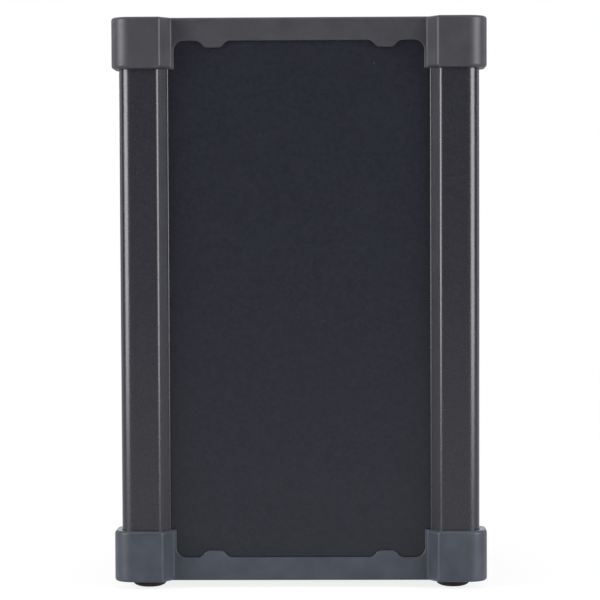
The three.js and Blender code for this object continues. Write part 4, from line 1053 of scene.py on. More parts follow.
def dress_on_rear(piece, place, finish, body, slot, *nodes):
    """Dresses a piece that was made at the middle of the sheet, at its place on the rear"""
    put(piece, place=(*place, 0))
    return dress(to_side(piece, "rear"), finish, body, slot, *nodes)


def square_of(centre, reach_x, reach_y):
    """The four corners of a rectangle round a centre"""
    signs = ((-1, -1), (1, -1), (1, 1), (-1, 1))
    return [(centre[0] + x * reach_x, centre[1] + y * reach_y) for x, y in signs]


def rounded_plate(name, width, height, radius, low, high, centre=(0, 0), steps=6):
    across, up = centre
    plate = add_block(
        name,
        (across - width / 2, up - height / 2, low),
        (across + width / 2, up + height / 2, high),
    )
    return round_edges(plate, radius, steps, upright) if radius else plate


def vent_cutter(rows, first_height, low, high):
    """Rows of slots with round ends"""
    almost_half = 0.4999 * vent_width
    slots = []
    for row in range(rows):
        middle = (0, first_height + row * vent_pitch)
        slots.append(rounded_plate("slot", vent_length, vent_width, almost_half, low, high, middle, 10))
    return gather("slots", slots)


def panel_blank(name):
    reach, low, high = panel_box[1].x, panel_box[0].z, panel_box[1].z
    return add_block(name, (-reach, low, -panel_thickness), (reach, high, 0))


def make_side_panel(name, side):
    low, high = -panel_thickness - overrun, overrun
    panel = cut_away(panel_blank(name), vent_cutter(6, base_top + vent_rise, low, high))
    soften(panel, 0.35 * mm, segments=2)
    return dress(to_side(panel, side), panel_coat, "case", "panel_coat", side + "_panel")


dress_node("front_panel", panel_coat)
make_side_panel("right_side_panel", "right")
make_side_panel("left_side_panel", "left")

# %% Places of the devices on the rear
def on_rear(node):
    """Where a node's middle is on the rear side: across to the viewer's right, and up"""
    low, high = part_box(node)
    return (-(low.x + high.x) / 2, (low.z + high.z) / 2)


fan_place = on_rear("fan_frame")
input_place = on_rear("data_input")
output_place = on_rear("data_output")
inlet_place = on_rear("power_inlet")
rocker_place = on_rear("rocker_frame")
window_place = on_rear("display_window")
bezel_place = on_rear("control_bezel")
latch_place = on_rear("data_latch")
button_names = ("menu_button", "down_button", "up_button", "enter_button")
button_places = [on_rear(name) for name in button_names]
fan_bore = 38 * mm
barrel_radius = 11.8 * mm
button_radius = 3.6 * mm
inlet_width = 28 * mm
inlet_height = 20.5 * mm
rocker_width = 13 * mm
rocker_reach = 9.5 * mm
switch_width = rocker_width + 2 * fit_gap + 5 * mm
switch_height = 2 * (rocker_reach + fit_gap + 2.5 * mm)
display_hole_width = 46 * mm
display_hole_height = 24 * mm
latch_stop_width = 10 * mm
latch_thickness = 2.4 * mm


# %% Rear panel
def make_rear_panel():
    low, high = -panel_thickness - overrun, overrun

    def slot(width, height, radius, place, steps=6):
        around = 2 * fit_gap
        return rounded_plate("hole", width + around, height + around, radius, low, high, place, steps)

    cutters = [add_bar("hole", fan_bore, low, high, fan_place, 96)]
    for place in (input_place, output_place):
        cutters.append(add_bar("hole", barrel_radius + fit_gap, low, high, place, 64))
    for place in button_places:
        cutters.append(add_bar("hole", button_radius + fit_gap, low, high, place, 32))
    cutters.append(slot(inlet_width, inlet_height, 2 * mm, inlet_place))
    cutters.append(slot(switch_width, switch_height, 0.3 * mm, rocker_place, 2))
    cutters.append(rounded_plate(
        "hole", display_hole_width, display_hole_height, 3 * mm, low, high, window_place,
    ))
    latch_hole = slot(latch_stop_width, latch_thickness, 0.3 * mm, latch_place, 2)
    panel = cut_away(panel_blank("rear_side_panel"), gather("holes", cutters), latch_hole)
    soften(panel, 0.3 * mm, segments=2)
    return dress(to_side(panel, "rear"), panel_coat, "case", "panel_coat", "rear_panel")


make_rear_panel()

# %% [markdown]
# The top and base plates are folded from coated sheet and lie inside the caps, so they take
# the case outline again, a little smaller. The base plate has air slots.

# %% Top and base plates
plate_inset = post_inset
plate_flat_end = post_end - post_bevel
plate_recess = slot_front + fit_gap - plate_inset
filler_centre = (0, 20.6 * mm)
filler_radius = 24 * mm
spigot_radius = 19 * mm


def make_plate(name, node, cutters):
    low, high = (corner.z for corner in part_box(node))
    plate = case_block(name, plate_inset, post_radius, plate_flat_end, plate_recess, low, high)
    cut_away(plate, gather("holes", cutters(low - overrun, high + overrun)))
    soften(plate, 0.3 * mm, segments=2)
    return dress(plate, sheet_coat, "case", "sheet_coat", node)


def top_holes(low, high):
    outlet_hole = add_bar("hole", spigot_radius + fit_gap, low, high, outlet_centre[:2], 72)
    filler_hole = add_bar("hole", filler_radius, low, high, filler_centre, 72)
    return [outlet_hole, filler_hole]


def base_holes(low, high):
    rows = 5
    return [vent_cutter(rows, -vent_pitch * (rows - 1) / 2, low, high)]


make_plate("top_sheet", "top_plate", top_holes)
make_plate("base_sheet", "base_plate", base_holes)

# %% [markdown]
# A foot is a rubber button: a flat sole under a shallow dome. It is turned from its half
# outline, like a bowl on a lathe, with a small dimple where its screw goes in. A thin bright
# steel ring between the foot and the cap is a painted highlight: it stands in for the bright
# line of light seen at that seam from the front.

# %% Feet
foot_low, foot_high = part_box("foot_front_left")
foot_centre = (foot_low + foot_high) / 2
foot_radius = (foot_high.x - foot_low.x) / 2
foot_top = foot_high.z
sole_radius = 3 * mm
foot_band = 0.5 * mm
highlight_washer_height = 0.5 * mm
dome_top = foot_top - highlight_washer_height


def foot_profile(steps=8):
    points = [(0, 0.6 * mm), (1.8 * mm, 0.6 * mm), (2.2 * mm, 0)]
    for step in range(steps + 1):
        angle = pi / 2 * step / steps
        radius = sole_radius + (foot_radius - sole_radius) * sin(angle)
        points.append((radius, (dome_top - foot_band) * (1 - cos(angle))))
    return points + [(foot_radius, dome_top), (0, dome_top)]


first_foot = turn_profile("front_left_foot", foot_profile())
put(first_foot, place=(foot_centre.x, foot_centre.y, 0))
for foot, corner in at_corners(first_foot, "_foot"):
    dress(foot, foot_rubber, "case", "foot_rubber", "foot_" + corner)

# Painted highlight: a bright steel ring at the seam above each foot, in place of the line of light seen
# there.
highlight_washer_radius = foot_radius - 0.4 * mm
first_highlight_washer = add_bar("front_left_washer", highlight_washer_radius, dome_top, foot_top, foot_centre[:2], 64)
soften(first_highlight_washer, 0.12 * mm, segments=2)
for highlight_washer, corner in at_corners(first_highlight_washer, "_washer"):
    dress(highlight_washer, bright_steel, "case", "bright_steel")

# %% [markdown]
# The spark outlet is a turned steel ring on the top plate. Its collar stands up round the
# bore, and its edges are broken with small rounds. The chamber tube below it is plain drawn
# tube, seen only when looking down the bore, so a lathed wall is enough.

# %% Spark outlet and chamber
flange_thickness = 2.5 * mm


def ring_profile(low, high, flange_low):
    bore, collar, flange = 17 * mm, 21 * mm, 28.5 * mm
    flange_high = flange_low + flange_thickness
    lip = 1.5 * mm
    return [
        (bore, low), (spigot_radius, low), (spigot_radius, flange_low), (flange, flange_low),
        (flange, flange_high - 0.5 * mm), (flange - 0.5 * mm, flange_high),
        (collar + 1.2 * mm, flange_high), (collar + 0.35 * mm, flange_high + 0.35 * mm),
        (collar, flange_high + 1.2 * mm), (collar, high - lip), (collar - 0.45 * mm, high - 0.45 * mm),
        (collar - lip, high), (bore + lip, high), (bore + 0.45 * mm, high - 0.45 * mm),
        (bore, high - lip), (bore, low),
    ]


outlet_place = (outlet_centre.x, outlet_centre.y, 0)
flange_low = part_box("top_plate")[1].z + fit_gap
outlet = turn_profile("spark_outlet", ring_profile(outlet_low.z, outlet_high.z, flange_low), 96)
dress(put(outlet, place=outlet_place), turned_steel, "case", "bright_steel", "outlet_ring")

tube_low, tube_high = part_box("chamber_tube")
tube_wall = 2 * mm
tube_outer = (tube_high.x - tube_low.x) / 2
tube_inner = tube_outer - tube_wall
feed_hole_radius = 5.2 * mm
tube = turn_profile("spark_chamber", [
    (tube_inner, tube_low.z), (tube_outer, tube_low.z), (tube_outer, tube_high.z),
    (tube_inner, tube_high.z), (tube_inner, tube_low.z),
], 64)
put(tube, place=outlet_place)
feed_axis_z = (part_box("feed_tube")[0].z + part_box("feed_tube")[1].z) / 2
feed_hole = put(
    add_bar("feed_hole", feed_hole_radius, 0, tube_outer + overrun, sides=32),
    turns=(-pi / 2, 0, 0), place=(0, outlet_centre.y, feed_axis_z),
)
dress(cut_away(tube, feed_hole), upright_steel, "case", "bright_steel", "chamber_tube")

# %% [markdown]
# Granules are poured in through the filler. Its collar is a steel plate with a raised lip and
# two hinge knuckles, and the lid closes over the lip and turns on a pin through all the
# knuckles. Pieces like these are welded from blocks and bars, then bored through.

# %% Filler collar and pin
collar_low, collar_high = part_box("filler_collar")
lid_low, lid_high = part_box("filler_lid")
pin_low, pin_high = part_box("lid_hinge_pin")
hinge_y = (pin_low.y + pin_high.y) / 2
hinge_z = (pin_low.z + pin_high.z) / 2
knuckle_radius = 2.4 * mm
knuckle_bore = 1.3 * mm
hinge_pin_radius = 1.1 * mm
lid_knuckle = 24 * mm
collar_knuckle = 12 * mm
collar_thickness = 2 * mm
lip_wall = 2 * mm
lip_height = 1 * mm
lid_thickness = 2.5 * mm
lid_depth = 58 * mm
mouth_x, mouth_y = filler_centre


def hinge_bar(name, radius, low, high, sides=32):
    bar = add_bar(name, radius, low, high, sides=sides)
    return put(bar, turns=(0, pi / 2, 0), place=(0, hinge_y, hinge_z))


def make_collar():
    width = collar_high.x - collar_low.x
    depth = collar_high.y - collar_low.y
    middle = (0, (collar_high.y + collar_low.y) / 2)
    plate_high = collar_low.z + collar_thickness
    plate = rounded_plate("filler_mouth_collar", width, depth, 4 * mm, collar_low.z, plate_high, middle)
    lip_high = plate_high + lip_height
    parts = [add_bar("lip", filler_radius + lip_wall, collar_low.z, lip_high, filler_centre, 96)]
    inner = lid_knuckle / 2 + fit_gap
    outer = inner + collar_knuckle
    for start, end in ((inner, outer), (-outer, -inner)):
        foot = add_block(
            "knuckle_foot",
            (start, hinge_y - knuckle_radius, collar_low.z + 0.2 * mm),
            (end, hinge_y + knuckle_radius, hinge_z),
        )
        parts += [foot, hinge_bar("knuckle", knuckle_radius, start, end)]
    weld_on(plate, *parts)
    low, high = collar_low.z - overrun, collar_high.z + overrun
    mouth = add_bar("mouth", filler_radius, low, high, filler_centre, 96)
    cut_away(plate, mouth, hinge_bar("pin_hole", knuckle_bore, -outer - overrun, outer + overrun))
    return soften(plate, 0.3 * mm, segments=2)


dress(make_collar(), bright_steel, "case", "bright_steel", "filler_collar")
pin = hinge_bar("filler_hinge_pin", hinge_pin_radius, pin_low.x, pin_high.x)
dress(soften(pin, 0.25 * mm), upright_steel, "case", "bright_steel", "lid_hinge_pin")


# %% Filler lid
def make_lid():
    width = lid_high.x - lid_low.x
    plate_low = collar_low.z + collar_thickness + lip_height + fit_gap
    plate_high = plate_low + lid_thickness
    rear = mouth_y + lid_depth / 2
    plate = rounded_plate("filler_flap", width, lid_depth, 4 * mm, plate_low, plate_high, (0, mouth_y), 8)
    pull_width, pull_depth = 20 * mm, 10 * mm
    pull = rounded_plate(
        "pull", pull_width, pull_depth, 2.4 * mm, plate_high - 1.5 * mm, plate_high - 0.02 * mm,
        (0, lid_low.y + pull_depth / 2),
    )
    arm = add_block(
        "arm",
        (-lid_knuckle / 2, rear - 2.5 * mm, plate_low + 0.02 * mm),
        (lid_knuckle / 2, hinge_y, plate_high - 0.02 * mm),
    )
    weld_on(plate, pull, arm, hinge_bar("knuckle", knuckle_radius, -lid_knuckle / 2, lid_knuckle / 2))
    bore = hinge_bar("bore", knuckle_bore, -lid_knuckle, lid_knuckle)
    margin, field_depth = 12 * mm, 0.35 * mm
    sunk = rounded_plate(
        "sunk_field", width - margin, lid_depth - margin, 3 * mm,
        plate_high - field_depth, plate_high + overrun, (0, mouth_y),
    )
    cut_away(plate, bore, sunk)
    return soften(plate, 0.35 * mm, segments=3)


dress(make_lid(), cap_plastic, "filler_lid", "cap_plastic", "filler_lid")

# %% [markdown]
# Everything inside keeps its working solid, because only slivers of it show through the vents
# and the fan. It still gets real finishes: zinc on the sheet metal, cloth on the insulation.

# %% Finishes of the pieces inside
inside_finishes = {
    "heater_band": zinc_sheet,
    "insulation_jacket": insulation,
    "thermal_cutout": gloss_plastic,
    "feed_tube": bright_steel,
    "feed_auger": bright_steel,
    "feed_motor": zinc_sheet,
    "feed_bracket": zinc_sheet,
    "mid_deck": zinc_sheet,
    "blower_housing": black_plastic,
    "blower_impeller": black_plastic,
    "power_supply": zinc_sheet,
    "control_board": board,
    "display_module": gloss_plastic,
}
for name, finish in inside_finishes.items():
    dress_node(name, finish)

hopper_low, hopper_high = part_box("hopper")
hopper_wall = 1.5 * mm
hopper_cone_high = hopper_high.z - 18 * mm
hopper_cone_low = hopper_low.z + 4 * mm
hopper_flange = 30 * mm
spout_radius = 5 * mm
hopper = turn_profile("granule_hopper", [
    (spout_radius, hopper_low.z), (spout_radius + hopper_wall, hopper_low.z),
    (spout_radius + hopper_wall, hopper_cone_low), (filler_radius + hopper_wall, hopper_cone_high),
    (filler_radius + hopper_wall, hopper_high.z - hopper_wall), (hopper_flange, hopper_high.z - hopper_wall),
    (hopper_flange, hopper_high.z), (filler_radius, hopper_high.z), (filler_radius, hopper_cone_high),
    (spout_radius, hopper_cone_low), (spout_radius, hopper_low.z),
])
put(soften(hopper, 0.4 * mm), place=(mouth_x, mouth_y, 0))
dress(hopper, bright_steel, "case", "bright_steel", "hopper")

# %% [markdown]
# The controls sit on the rear: a black bezel with a smoked display pane and four round keys.
# Seven-segment digits that are switched off show only as grey bars behind the pane, and the
# keys have plain arrows and bars beside them instead of words.

# %% Control bezel and pane
bezel_low, bezel_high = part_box("control_bezel")
bezel_face = bezel_high.y - panel_out
bezel_back = bezel_low.y - panel_out
window_low, window_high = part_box("display_window")
window_width = window_high.x - window_low.x
window_height = window_high.z - window_low.z


def make_bezel():
    width = bezel_high.x - bezel_low.x
    height = bezel_high.z - bezel_low.z
    bezel = rounded_plate("control_surround", width, height, 3 * mm, bezel_back, bezel_face, bezel_place, 8)
    low, high = bezel_back - overrun, bezel_face + overrun
    cutters = [rounded_plate(
        "hole", window_width + 2 * fit_gap, window_height + 2 * fit_gap, 3 * mm, low, high, window_place,
    )]
    for place in button_places:
        cutters.append(add_bar("hole", button_radius + fit_gap, low, high, place, 40))
    cut_away(bezel, gather("holes", cutters))
    soften(bezel, 0.4 * mm, segments=3)
    return dress(to_side(bezel, "rear"), black_plastic, "case", "black_plastic", "control_bezel")


def make_pane():
    pane_face = bezel_face - 0.1 * mm
    pane = rounded_plate(
        "display_pane", window_width, window_height, 3 * mm, bezel_back, pane_face, window_place, 8,
    )
    soften(pane, 0.25 * mm, segments=2)
    return dress(to_side(pane, "rear"), smoked_glass, "case", "window", "display_window")


make_bezel()
make_pane()

# %% Display digits
digit_height = 13 * mm
digit_width = 7 * mm
digit_pitch = 11.5 * mm
segment_width = 1.7 * mm
segment_gap = 0.35 * mm
digit_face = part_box("display_module")[1].y - panel_out


def make_digit(centre_across, centre_up):
    """Seven bars with pointed ends, as an eight"""
    half_width = (digit_width - segment_width) / 2
    half_height = (digit_height - segment_width) / 2
    low, high = digit_face + 0.02 * mm, digit_face + 0.3 * mm
    bars = []
    for up in (-half_height, 0, half_height):
        bars.append((2 * half_width - segment_gap, segment_width, 0, up))
    for across in (-half_width, half_width):
        for up in (-half_height / 2, half_height / 2):
            bars.append((segment_width, half_height - segment_gap, across, up))
    made = []
    for width, height, across, up in bars:
        place = (centre_across + across, centre_up + up)
        made.append(rounded_plate("segment", width, height, 0.45 * segment_width, low, high, place, 1))
    return made


segments = []
for place in (-1, 0, 1):
    segments += make_digit(window_place[0] + place * digit_pitch, window_place[1])
digits = gather("display_digits", segments)
dress(to_side(digits, "rear"), segment_plastic, "case", "key_plastic")


# %% Keys
def key_profile():
    stem_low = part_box("menu_button")[0].y - panel_out
    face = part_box("menu_button")[1].y - panel_out
    stem, flange, flange_low, flange_high = 2 * mm, 4.9 * mm, -3.8 * mm, -2.3 * mm
    edge = 0.9 * mm
    dish = 0.35 * mm
    points = [
        (0, stem_low), (stem, stem_low), (stem, flange_low), (flange, flange_low),
        (flange, flange_high), (button_radius, flange_high), (button_radius, face - edge),
    ]
    for step in range(1, 5):
        angle = pi / 2 * step / 4
        points.append((button_radius - edge * (1 - cos(angle)), face - edge * (1 - sin(angle))))
    return points + [(1.8 * mm, face - 0.6 * dish), (0.9 * mm, face - 0.9 * dish), (0, face - dish)]


for name, place in zip(button_names, button_places):
    key = turn_profile(name.replace("button", "key"), key_profile(), 40)
    dress_on_rear(key, place, key_plastic, name, "key_plastic", name)

# %% Marks beside the keys
mark_low = bezel_face + 0.01 * mm
mark_high = bezel_face + 0.12 * mm
mark_rise = 9.5 * mm
arrow_radius = 1.7 * mm
line = 0.8 * mm


def print_bar(width, height, across, up):
    return rounded_plate("bar", width, height, 0.1 * mm, mark_low, mark_high, (across, up), 1)


def print_arrow(across, up, turn):
    """A small triangle, pointing up, down or to a side"""
    bpy.ops.object.select_all(action="DESELECT")
    bpy.ops.mesh.primitive_cylinder_add(
        vertices=3, radius=arrow_radius, depth=mark_high - mark_low,
        location=(across, up, (mark_low + mark_high) / 2), rotation=(0, 0, turn),
    )
    return name_new("arrow")


menu_at, down_at, up_at, enter_at = [(across, up + mark_rise) for across, up in button_places]
marks = []
for step in (-1, 0, 1):
    marks.append(print_bar(4.4 * mm, line, menu_at[0], menu_at[1] + step * 1.5 * mm))
marks.append(print_arrow(down_at[0], down_at[1], pi))
marks.append(print_arrow(up_at[0], up_at[1], 0))
marks.append(print_arrow(enter_at[0] - 1.6 * mm, enter_at[1], pi / 2))
marks.append(print_bar(3.6 * mm, line, enter_at[0] + 1.2 * mm, enter_at[1]))
marks.append(print_bar(line, 2.6 * mm, enter_at[0] + 2.6 * mm, enter_at[1] + 0.9 * mm))
printed = gather("printed_key_marks", marks)
dress(to_side(printed, "rear"), print_ink, "case", "key_plastic")

# %% [markdown]
# The cooling fan is a square frame with a round tunnel. Its rotor is a hub with seven
# curved blades: one blade is a thin strip, twisted from root to tip, and the rest are turned
# copies. The guard outside is bent and welded wire, so its rings are tori and its spokes bars.

# %% Fan frame
fan_low, fan_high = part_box("fan_frame")
fan_back = fan_low.y - panel_out
fan_front = fan_high.y - panel_out
fan_size = fan_high.x - fan_low.x
fan_screw_reach = 71.5 / 2 * mm
fan_screw_hole = 2.2 * mm
hub_radius = 16 * mm
mount_low = fan_back + 0.1 * mm
mount_face = fan_back + 3 * mm
strut_half = 2 * mm
shaft_radius = 2 * mm


def make_fan_frame():
    flange = 4 * mm
    low, high = fan_back - overrun, fan_front + overrun
    body = rounded_plate("fan_surround", fan_size, fan_size, 5 * mm, fan_back, fan_front)
    waist = rounded_plate(
        "waist", fan_size + flange, fan_size + flange, 5 * mm, fan_back + flange, fan_front - flange,
    )
    cut_away(waist, add_bar("core", fan_size / 2 - 0.3 * mm, fan_back, fan_front, sides=96))
    bore = add_bar("bore", fan_bore, low, high, sides=96)
    holes = []
    for place in square_of((0, 0), fan_screw_reach, fan_screw_reach):
        holes.append(add_bar("hole", fan_screw_hole, low, high, place, 24))
    cut_away(body, waist, bore, gather("holes", holes))
    parts = [add_bar("mount", hub_radius, mount_low, mount_face, sides=64)]
    for quarter in range(4):
        strut = add_block(
            "strut",
            (0, -strut_half, mount_low),
            (fan_bore + 1.5 * mm, strut_half, mount_face - 0.1 * mm),
        )
        parts.append(put(strut, turns=(0, 0, quarter * pi / 2)))
    parts.append(add_bar("shaft", shaft_radius, mount_face - mm, mount_face + 12 * mm, sides=24))
    weld_on(body, *parts)
    soften(body, 0.4 * mm, segments=2)
    return dress_on_rear(body, fan_place, black_plastic, "case", "black_plastic", "fan_frame")


make_fan_frame()

# %% Fan rotor
rotor_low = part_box("fan_rotor")[0].y - panel_out
rotor_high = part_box("fan_rotor")[1].y - panel_out
blade_tip = 35.6 * mm
blade_count = 7


def hub_profile():
    bore, round_off = shaft_radius + fit_gap, 1.6 * mm
    bore_high = rotor_low + 12.5 * mm
    points = [(bore, bore_high), (bore, rotor_low), (hub_radius, rotor_low)]
    for step in range(6):
        angle = pi / 2 * step / 5
        points.append((
            hub_radius - round_off * (1 - cos(angle)),
            rotor_high - round_off * (1 - sin(angle)),
        ))
    dish = 0.5 * mm
    ring = 10.5 * mm
    points += [(ring, rotor_high), (ring - dish, rotor_high - dish), (0, rotor_high - dish)]
    return [(0, bore_high)] + points


def make_blade():
    """A strip from root to tip, its angle flattening outwards, swept back and given a wall"""
    rows, columns = 8, 6
    root_pitch, flattening = 46, 20
    root_chord, widening = 17 * mm, 7 * mm
    full_bow, full_sweep = 1.6 * mm, radians(16)
    bpy.ops.object.select_all(action="DESELECT")
    bpy.ops.mesh.primitive_grid_add(x_subdivisions=rows, y_subdivisions=columns, size=1)
    blade = name_new("blade")
    root = hub_radius - 0.6 * mm
    middle_height = (rotor_low + rotor_high) / 2
    for corner in blade.data.vertices:
        out = corner.co.x + 0.5
        along = corner.co.y
        radius = root + (blade_tip - root) * out
        pitch = radians(root_pitch - flattening * out)
        chord = root_chord + widening * out
        bow = full_bow * (1 - 4 * along * along)
        sweep = full_sweep * out * out
        angle = sweep + chord * along * cos(pitch) / radius
        height = chord * along * sin(pitch) + bow
        corner.co = (radius * cos(angle), radius * sin(angle), middle_height + height)
    use(blade)
    wall = blade.modifiers.new("wall", "SOLIDIFY")
    wall.thickness = 1.3 * mm
    wall.offset = 0
    bpy.ops.object.modifier_apply(modifier=wall.name)
    return soften(blade, 0.3 * mm, segments=2, sharper_than=60)


first_blade = make_blade()
blades = [first_blade]
for place in range(1, blade_count):
    blades.append(put(copy_of(first_blade, "blade"), turns=(0, 0, 2 * pi * place / blade_count)))
rotor = weld_on(turn_profile("fan_blades", hub_profile(), 64), gather("blades", blades))
dress_on_rear(rotor, fan_place, black_plastic, "fan_rotor", "black_plastic", "fan_rotor")

# %% Fan guard
guard_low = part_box("fan_guard")[0].y - panel_out
guard_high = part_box("fan_guard")[1].y - panel_out
wire = (guard_high - guard_low) / 2
ring_wire = 0.98 * wire
bar_wire = 0.94 * wire
ring_pitch = 12 * mm
eye_radius = 4.9 * mm
eye_inset = 0.4 * mm


def make_guard():
    """Three wire rings, two crossed bars and four flattened eyes for the screws"""
    middle = (guard_low + guard_high) / 2
    parts = []
    for ring in (1, 2, 3):
        bpy.ops.object.select_all(action="DESELECT")
        bpy.ops.mesh.primitive_torus_add(
            major_radius=ring * ring_pitch, minor_radius=ring_wire,
            major_segments=96, minor_segments=14, location=(0, 0, middle),
        )
        parts.append(name_new("ring"))
    reach = fan_screw_reach * sqrt(2)
    for corner in range(4):
        turn = pi / 4 + corner * pi / 2
        bar = add_bar("bar", bar_wire, 0.4 * mm * corner / 4, reach - 2.4 * mm, sides=14)
        put(bar, turns=(0, pi / 2, 0), place=(0, 0, middle))
        parts.append(put(bar, turns=(0, 0, turn)))
        eye_place = (reach * cos(turn), reach * sin(turn))
        eye = add_bar("eye", eye_radius, guard_low + eye_inset, guard_high - eye_inset, eye_place, 40)
        parts.append(soften(eye, 0.35 * mm, segments=2))
    guard = parts[0]
    guard.name = "fan_wire_guard"
    weld_on(guard, *parts[1:])
    return dress_on_rear(guard, fan_place, upright_steel, "case", "bright_steel", "fan_guard")


make_guard()

# %% [markdown]
# Two round data sockets, a mains inlet and a rocker switch fill the bottom row. Each is
# a flange with a barrel behind it. The openings are what the eye reads, so the contacts,
# the groove, the key way and the rounded lips are all cut or built, not painted.

# %% Data sockets
socket_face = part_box("data_input")[1].y - panel_out
socket_flange_low = 0.3 * mm
socket_flange_width = 26 * mm
socket_flange_height = 33 * mm
socket_step_radius = 11 * mm
socket_step_depth = 0.7 * mm
socket_floor = socket_face - 14 * mm
barrel_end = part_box("data_input")[0].y - panel_out
cavity_radius = 9.4 * mm
contact_circle = 5.4 * mm


def contact_places():
    places = []
    for degrees in (90, 210, 330):
        angle = radians(degrees)
        places.append((-contact_circle * cos(angle), -contact_circle * sin(angle)))
    return places


def socket_shell(name):
    shell = rounded_plate(
        name, socket_flange_width, socket_flange_height, 3 * mm, socket_flange_low, socket_face, steps=8,
    )
    weld_on(shell, add_bar("barrel", barrel_radius, barrel_end, socket_face - 0.5 * mm, sides=64))
    step_floor, high = socket_face - socket_step_depth, socket_face + overrun
    step = add_bar("step", socket_step_radius, step_floor, high, sides=64)
    cavity = add_bar("cavity", cavity_radius, socket_floor, high, sides=64)
    return cut_away(shell, step, cavity)


def finish_socket(socket, place, node):
    soften(socket, 0.28 * mm, segments=2)
    return dress_on_rear(socket, place, bright_steel, "case", "bright_steel", node)


finish_socket(socket_shell("data_in_socket"), input_place, "data_input")

pins = []
for across, up in contact_places():
    pin = add_bar("pin", 1.2 * mm, socket_floor - 0.5 * mm, socket_floor + 12 * mm, (across, up), 20)
    pins.append(soften(pin, 0.5 * mm, segments=3))
dress_on_rear(gather("data_in_pins", pins), input_place, zinc_sheet, "case", "zinc_sheet")

insert_radius = cavity_radius - 0.05 * mm
insert_low = socket_floor + 0.02 * mm
insert = add_bar("data_in_insert", insert_radius, insert_low, socket_floor + 2 * mm, sides=48)
dress_on_rear(soften(insert, 0.3 * mm), input_place, black_plastic, "case", "black_plastic")

# %% Data output, its insert and its latch
latch_width = 7 * mm
latch_rise = latch_place[1] - output_place[1]
latch_slot = rounded_plate(
    "slot", latch_width + 2 * fit_gap, latch_thickness + 2 * fit_gap, 0.4 * mm,
    0, socket_face + overrun, (0, latch_rise), 2,
)
data_out = cut_away(socket_shell("data_out_socket"), latch_slot)
finish_socket(data_out, output_place, "data_output")

core_radius = 7.6 * mm
core_face = socket_face - 0.2 * mm
core = add_bar("data_out_insert", core_radius, insert_low, core_face, sides=64)
key_way = add_block(
    "key_way",
    (-1.1 * mm, 6.6 * mm, socket_floor + overrun),
    (1.1 * mm, 9 * mm, core_face + overrun),
)
sockets = []
for across, up in contact_places():
    sockets.append(add_bar("contact", 1.5 * mm, core_face - 11 * mm, core_face + overrun, (across, up), 24))
cut_away(core, key_way, gather("contacts", sockets))
soften(core, 0.3 * mm, segments=2)
dress_on_rear(core, output_place, black_plastic, "case", "black_plastic")

latch_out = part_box("data_latch")[1].y - panel_out
latch = rounded_plate(
    "data_release_latch", latch_width, latch_thickness, 0.5 * mm, socket_face - 9 * mm, latch_out, steps=3,
)
stop_thickness = latch_thickness - 0.02 * mm
stop = rounded_plate("stop", latch_stop_width, stop_thickness, 0.3 * mm, -1.5 * mm, 0, steps=2)
weld_on(latch, stop)
groove_reach, groove_half, groove_depth = 2.6 * mm, 0.14 * mm, 0.25 * mm
grooves = []
for row in (-1, 0, 1):
    up = row * 0.65 * mm
    grooves.append(add_block(
        "groove",
        (-groove_reach, up - groove_half, latch_out - groove_depth),
        (groove_reach, up + groove_half, latch_out + overrun),
    ))
cut_away(latch, gather("grooves", grooves))
soften(latch, 0.15 * mm, segments=2)
dress_on_rear(latch, latch_place, bright_steel, "data_latch", "bright_steel", "data_latch")

# %% Mains inlet
inlet_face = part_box("power_inlet")[1].y - panel_out
inlet_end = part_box("power_inlet")[0].y - panel_out
inlet_floor = inlet_face - 17 * mm


def mains_outline(name, width, height, low, high, nick):
    """The mouth of a mains inlet: a rectangle with its two upper corners cut off"""
    mouth = add_block(name, (-width / 2, -height / 2, low), (width / 2, height / 2, high))
    round_edges(mouth, nick, 1, lambda middle, along: upright(middle, along) and middle.y > 0)
    return round_edges(mouth, 1.2 * mm, 5, lambda middle, along: upright(middle, along) and middle.y < 0)


def make_inlet():
    wall = 1.8 * mm
    flange_width, flange_height = 33 * mm, 26 * mm
    inlet = rounded_plate(
        "mains_inlet", flange_width, flange_height, 2.6 * mm, socket_flange_low, inlet_face, steps=8,
    )
    body = mains_outline("body", inlet_width, inlet_height, inlet_end, inlet_face - 0.5 * mm, 4.6 * mm)
    weld_on(inlet, body)
    cavity = mains_outline(
        "cavity", inlet_width - 2 * wall, inlet_height - 2 * wall,
        inlet_floor, inlet_face + overrun, 4.2 * mm,
    )
    cut_away(inlet, cavity)
    soften(inlet, 0.4 * mm, segments=3)
    return dress_on_rear(inlet, inlet_place, gloss_plastic, "case", "black_plastic", "power_inlet")


def make_inlet_blades():
    low, high = inlet_floor - 0.5 * mm, inlet_floor + 13 * mm
    blades = []
    for place in ((-7 * mm, -2 * mm), (0, 4 * mm), (7 * mm, -2 * mm)):
        blade = rounded_plate("blade", 2 * mm, 4 * mm, 0.3 * mm, low, high, place, 2)
        blades.append(soften(blade, 0.5 * mm, segments=3, sharper_than=60))
    joined = gather("mains_inlet_blades", blades)
    return dress_on_rear(joined, inlet_place, zinc_sheet, "case", "zinc_sheet")


make_inlet()
make_inlet_blades()

# %% Rocker switch frame
rocker_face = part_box("rocker_frame")[1].y - panel_out
rocker_axis_out = -1 * mm
rocker_pin_radius = 1.45 * mm
rocker_pin_reach = rocker_width / 2 + 1.4 * mm
rocker_bore_radius = rocker_pin_radius + 0.2 * mm
rocker_bore_reach = 8.3 * mm
well_floor = rocker_axis_out - 9 * mm


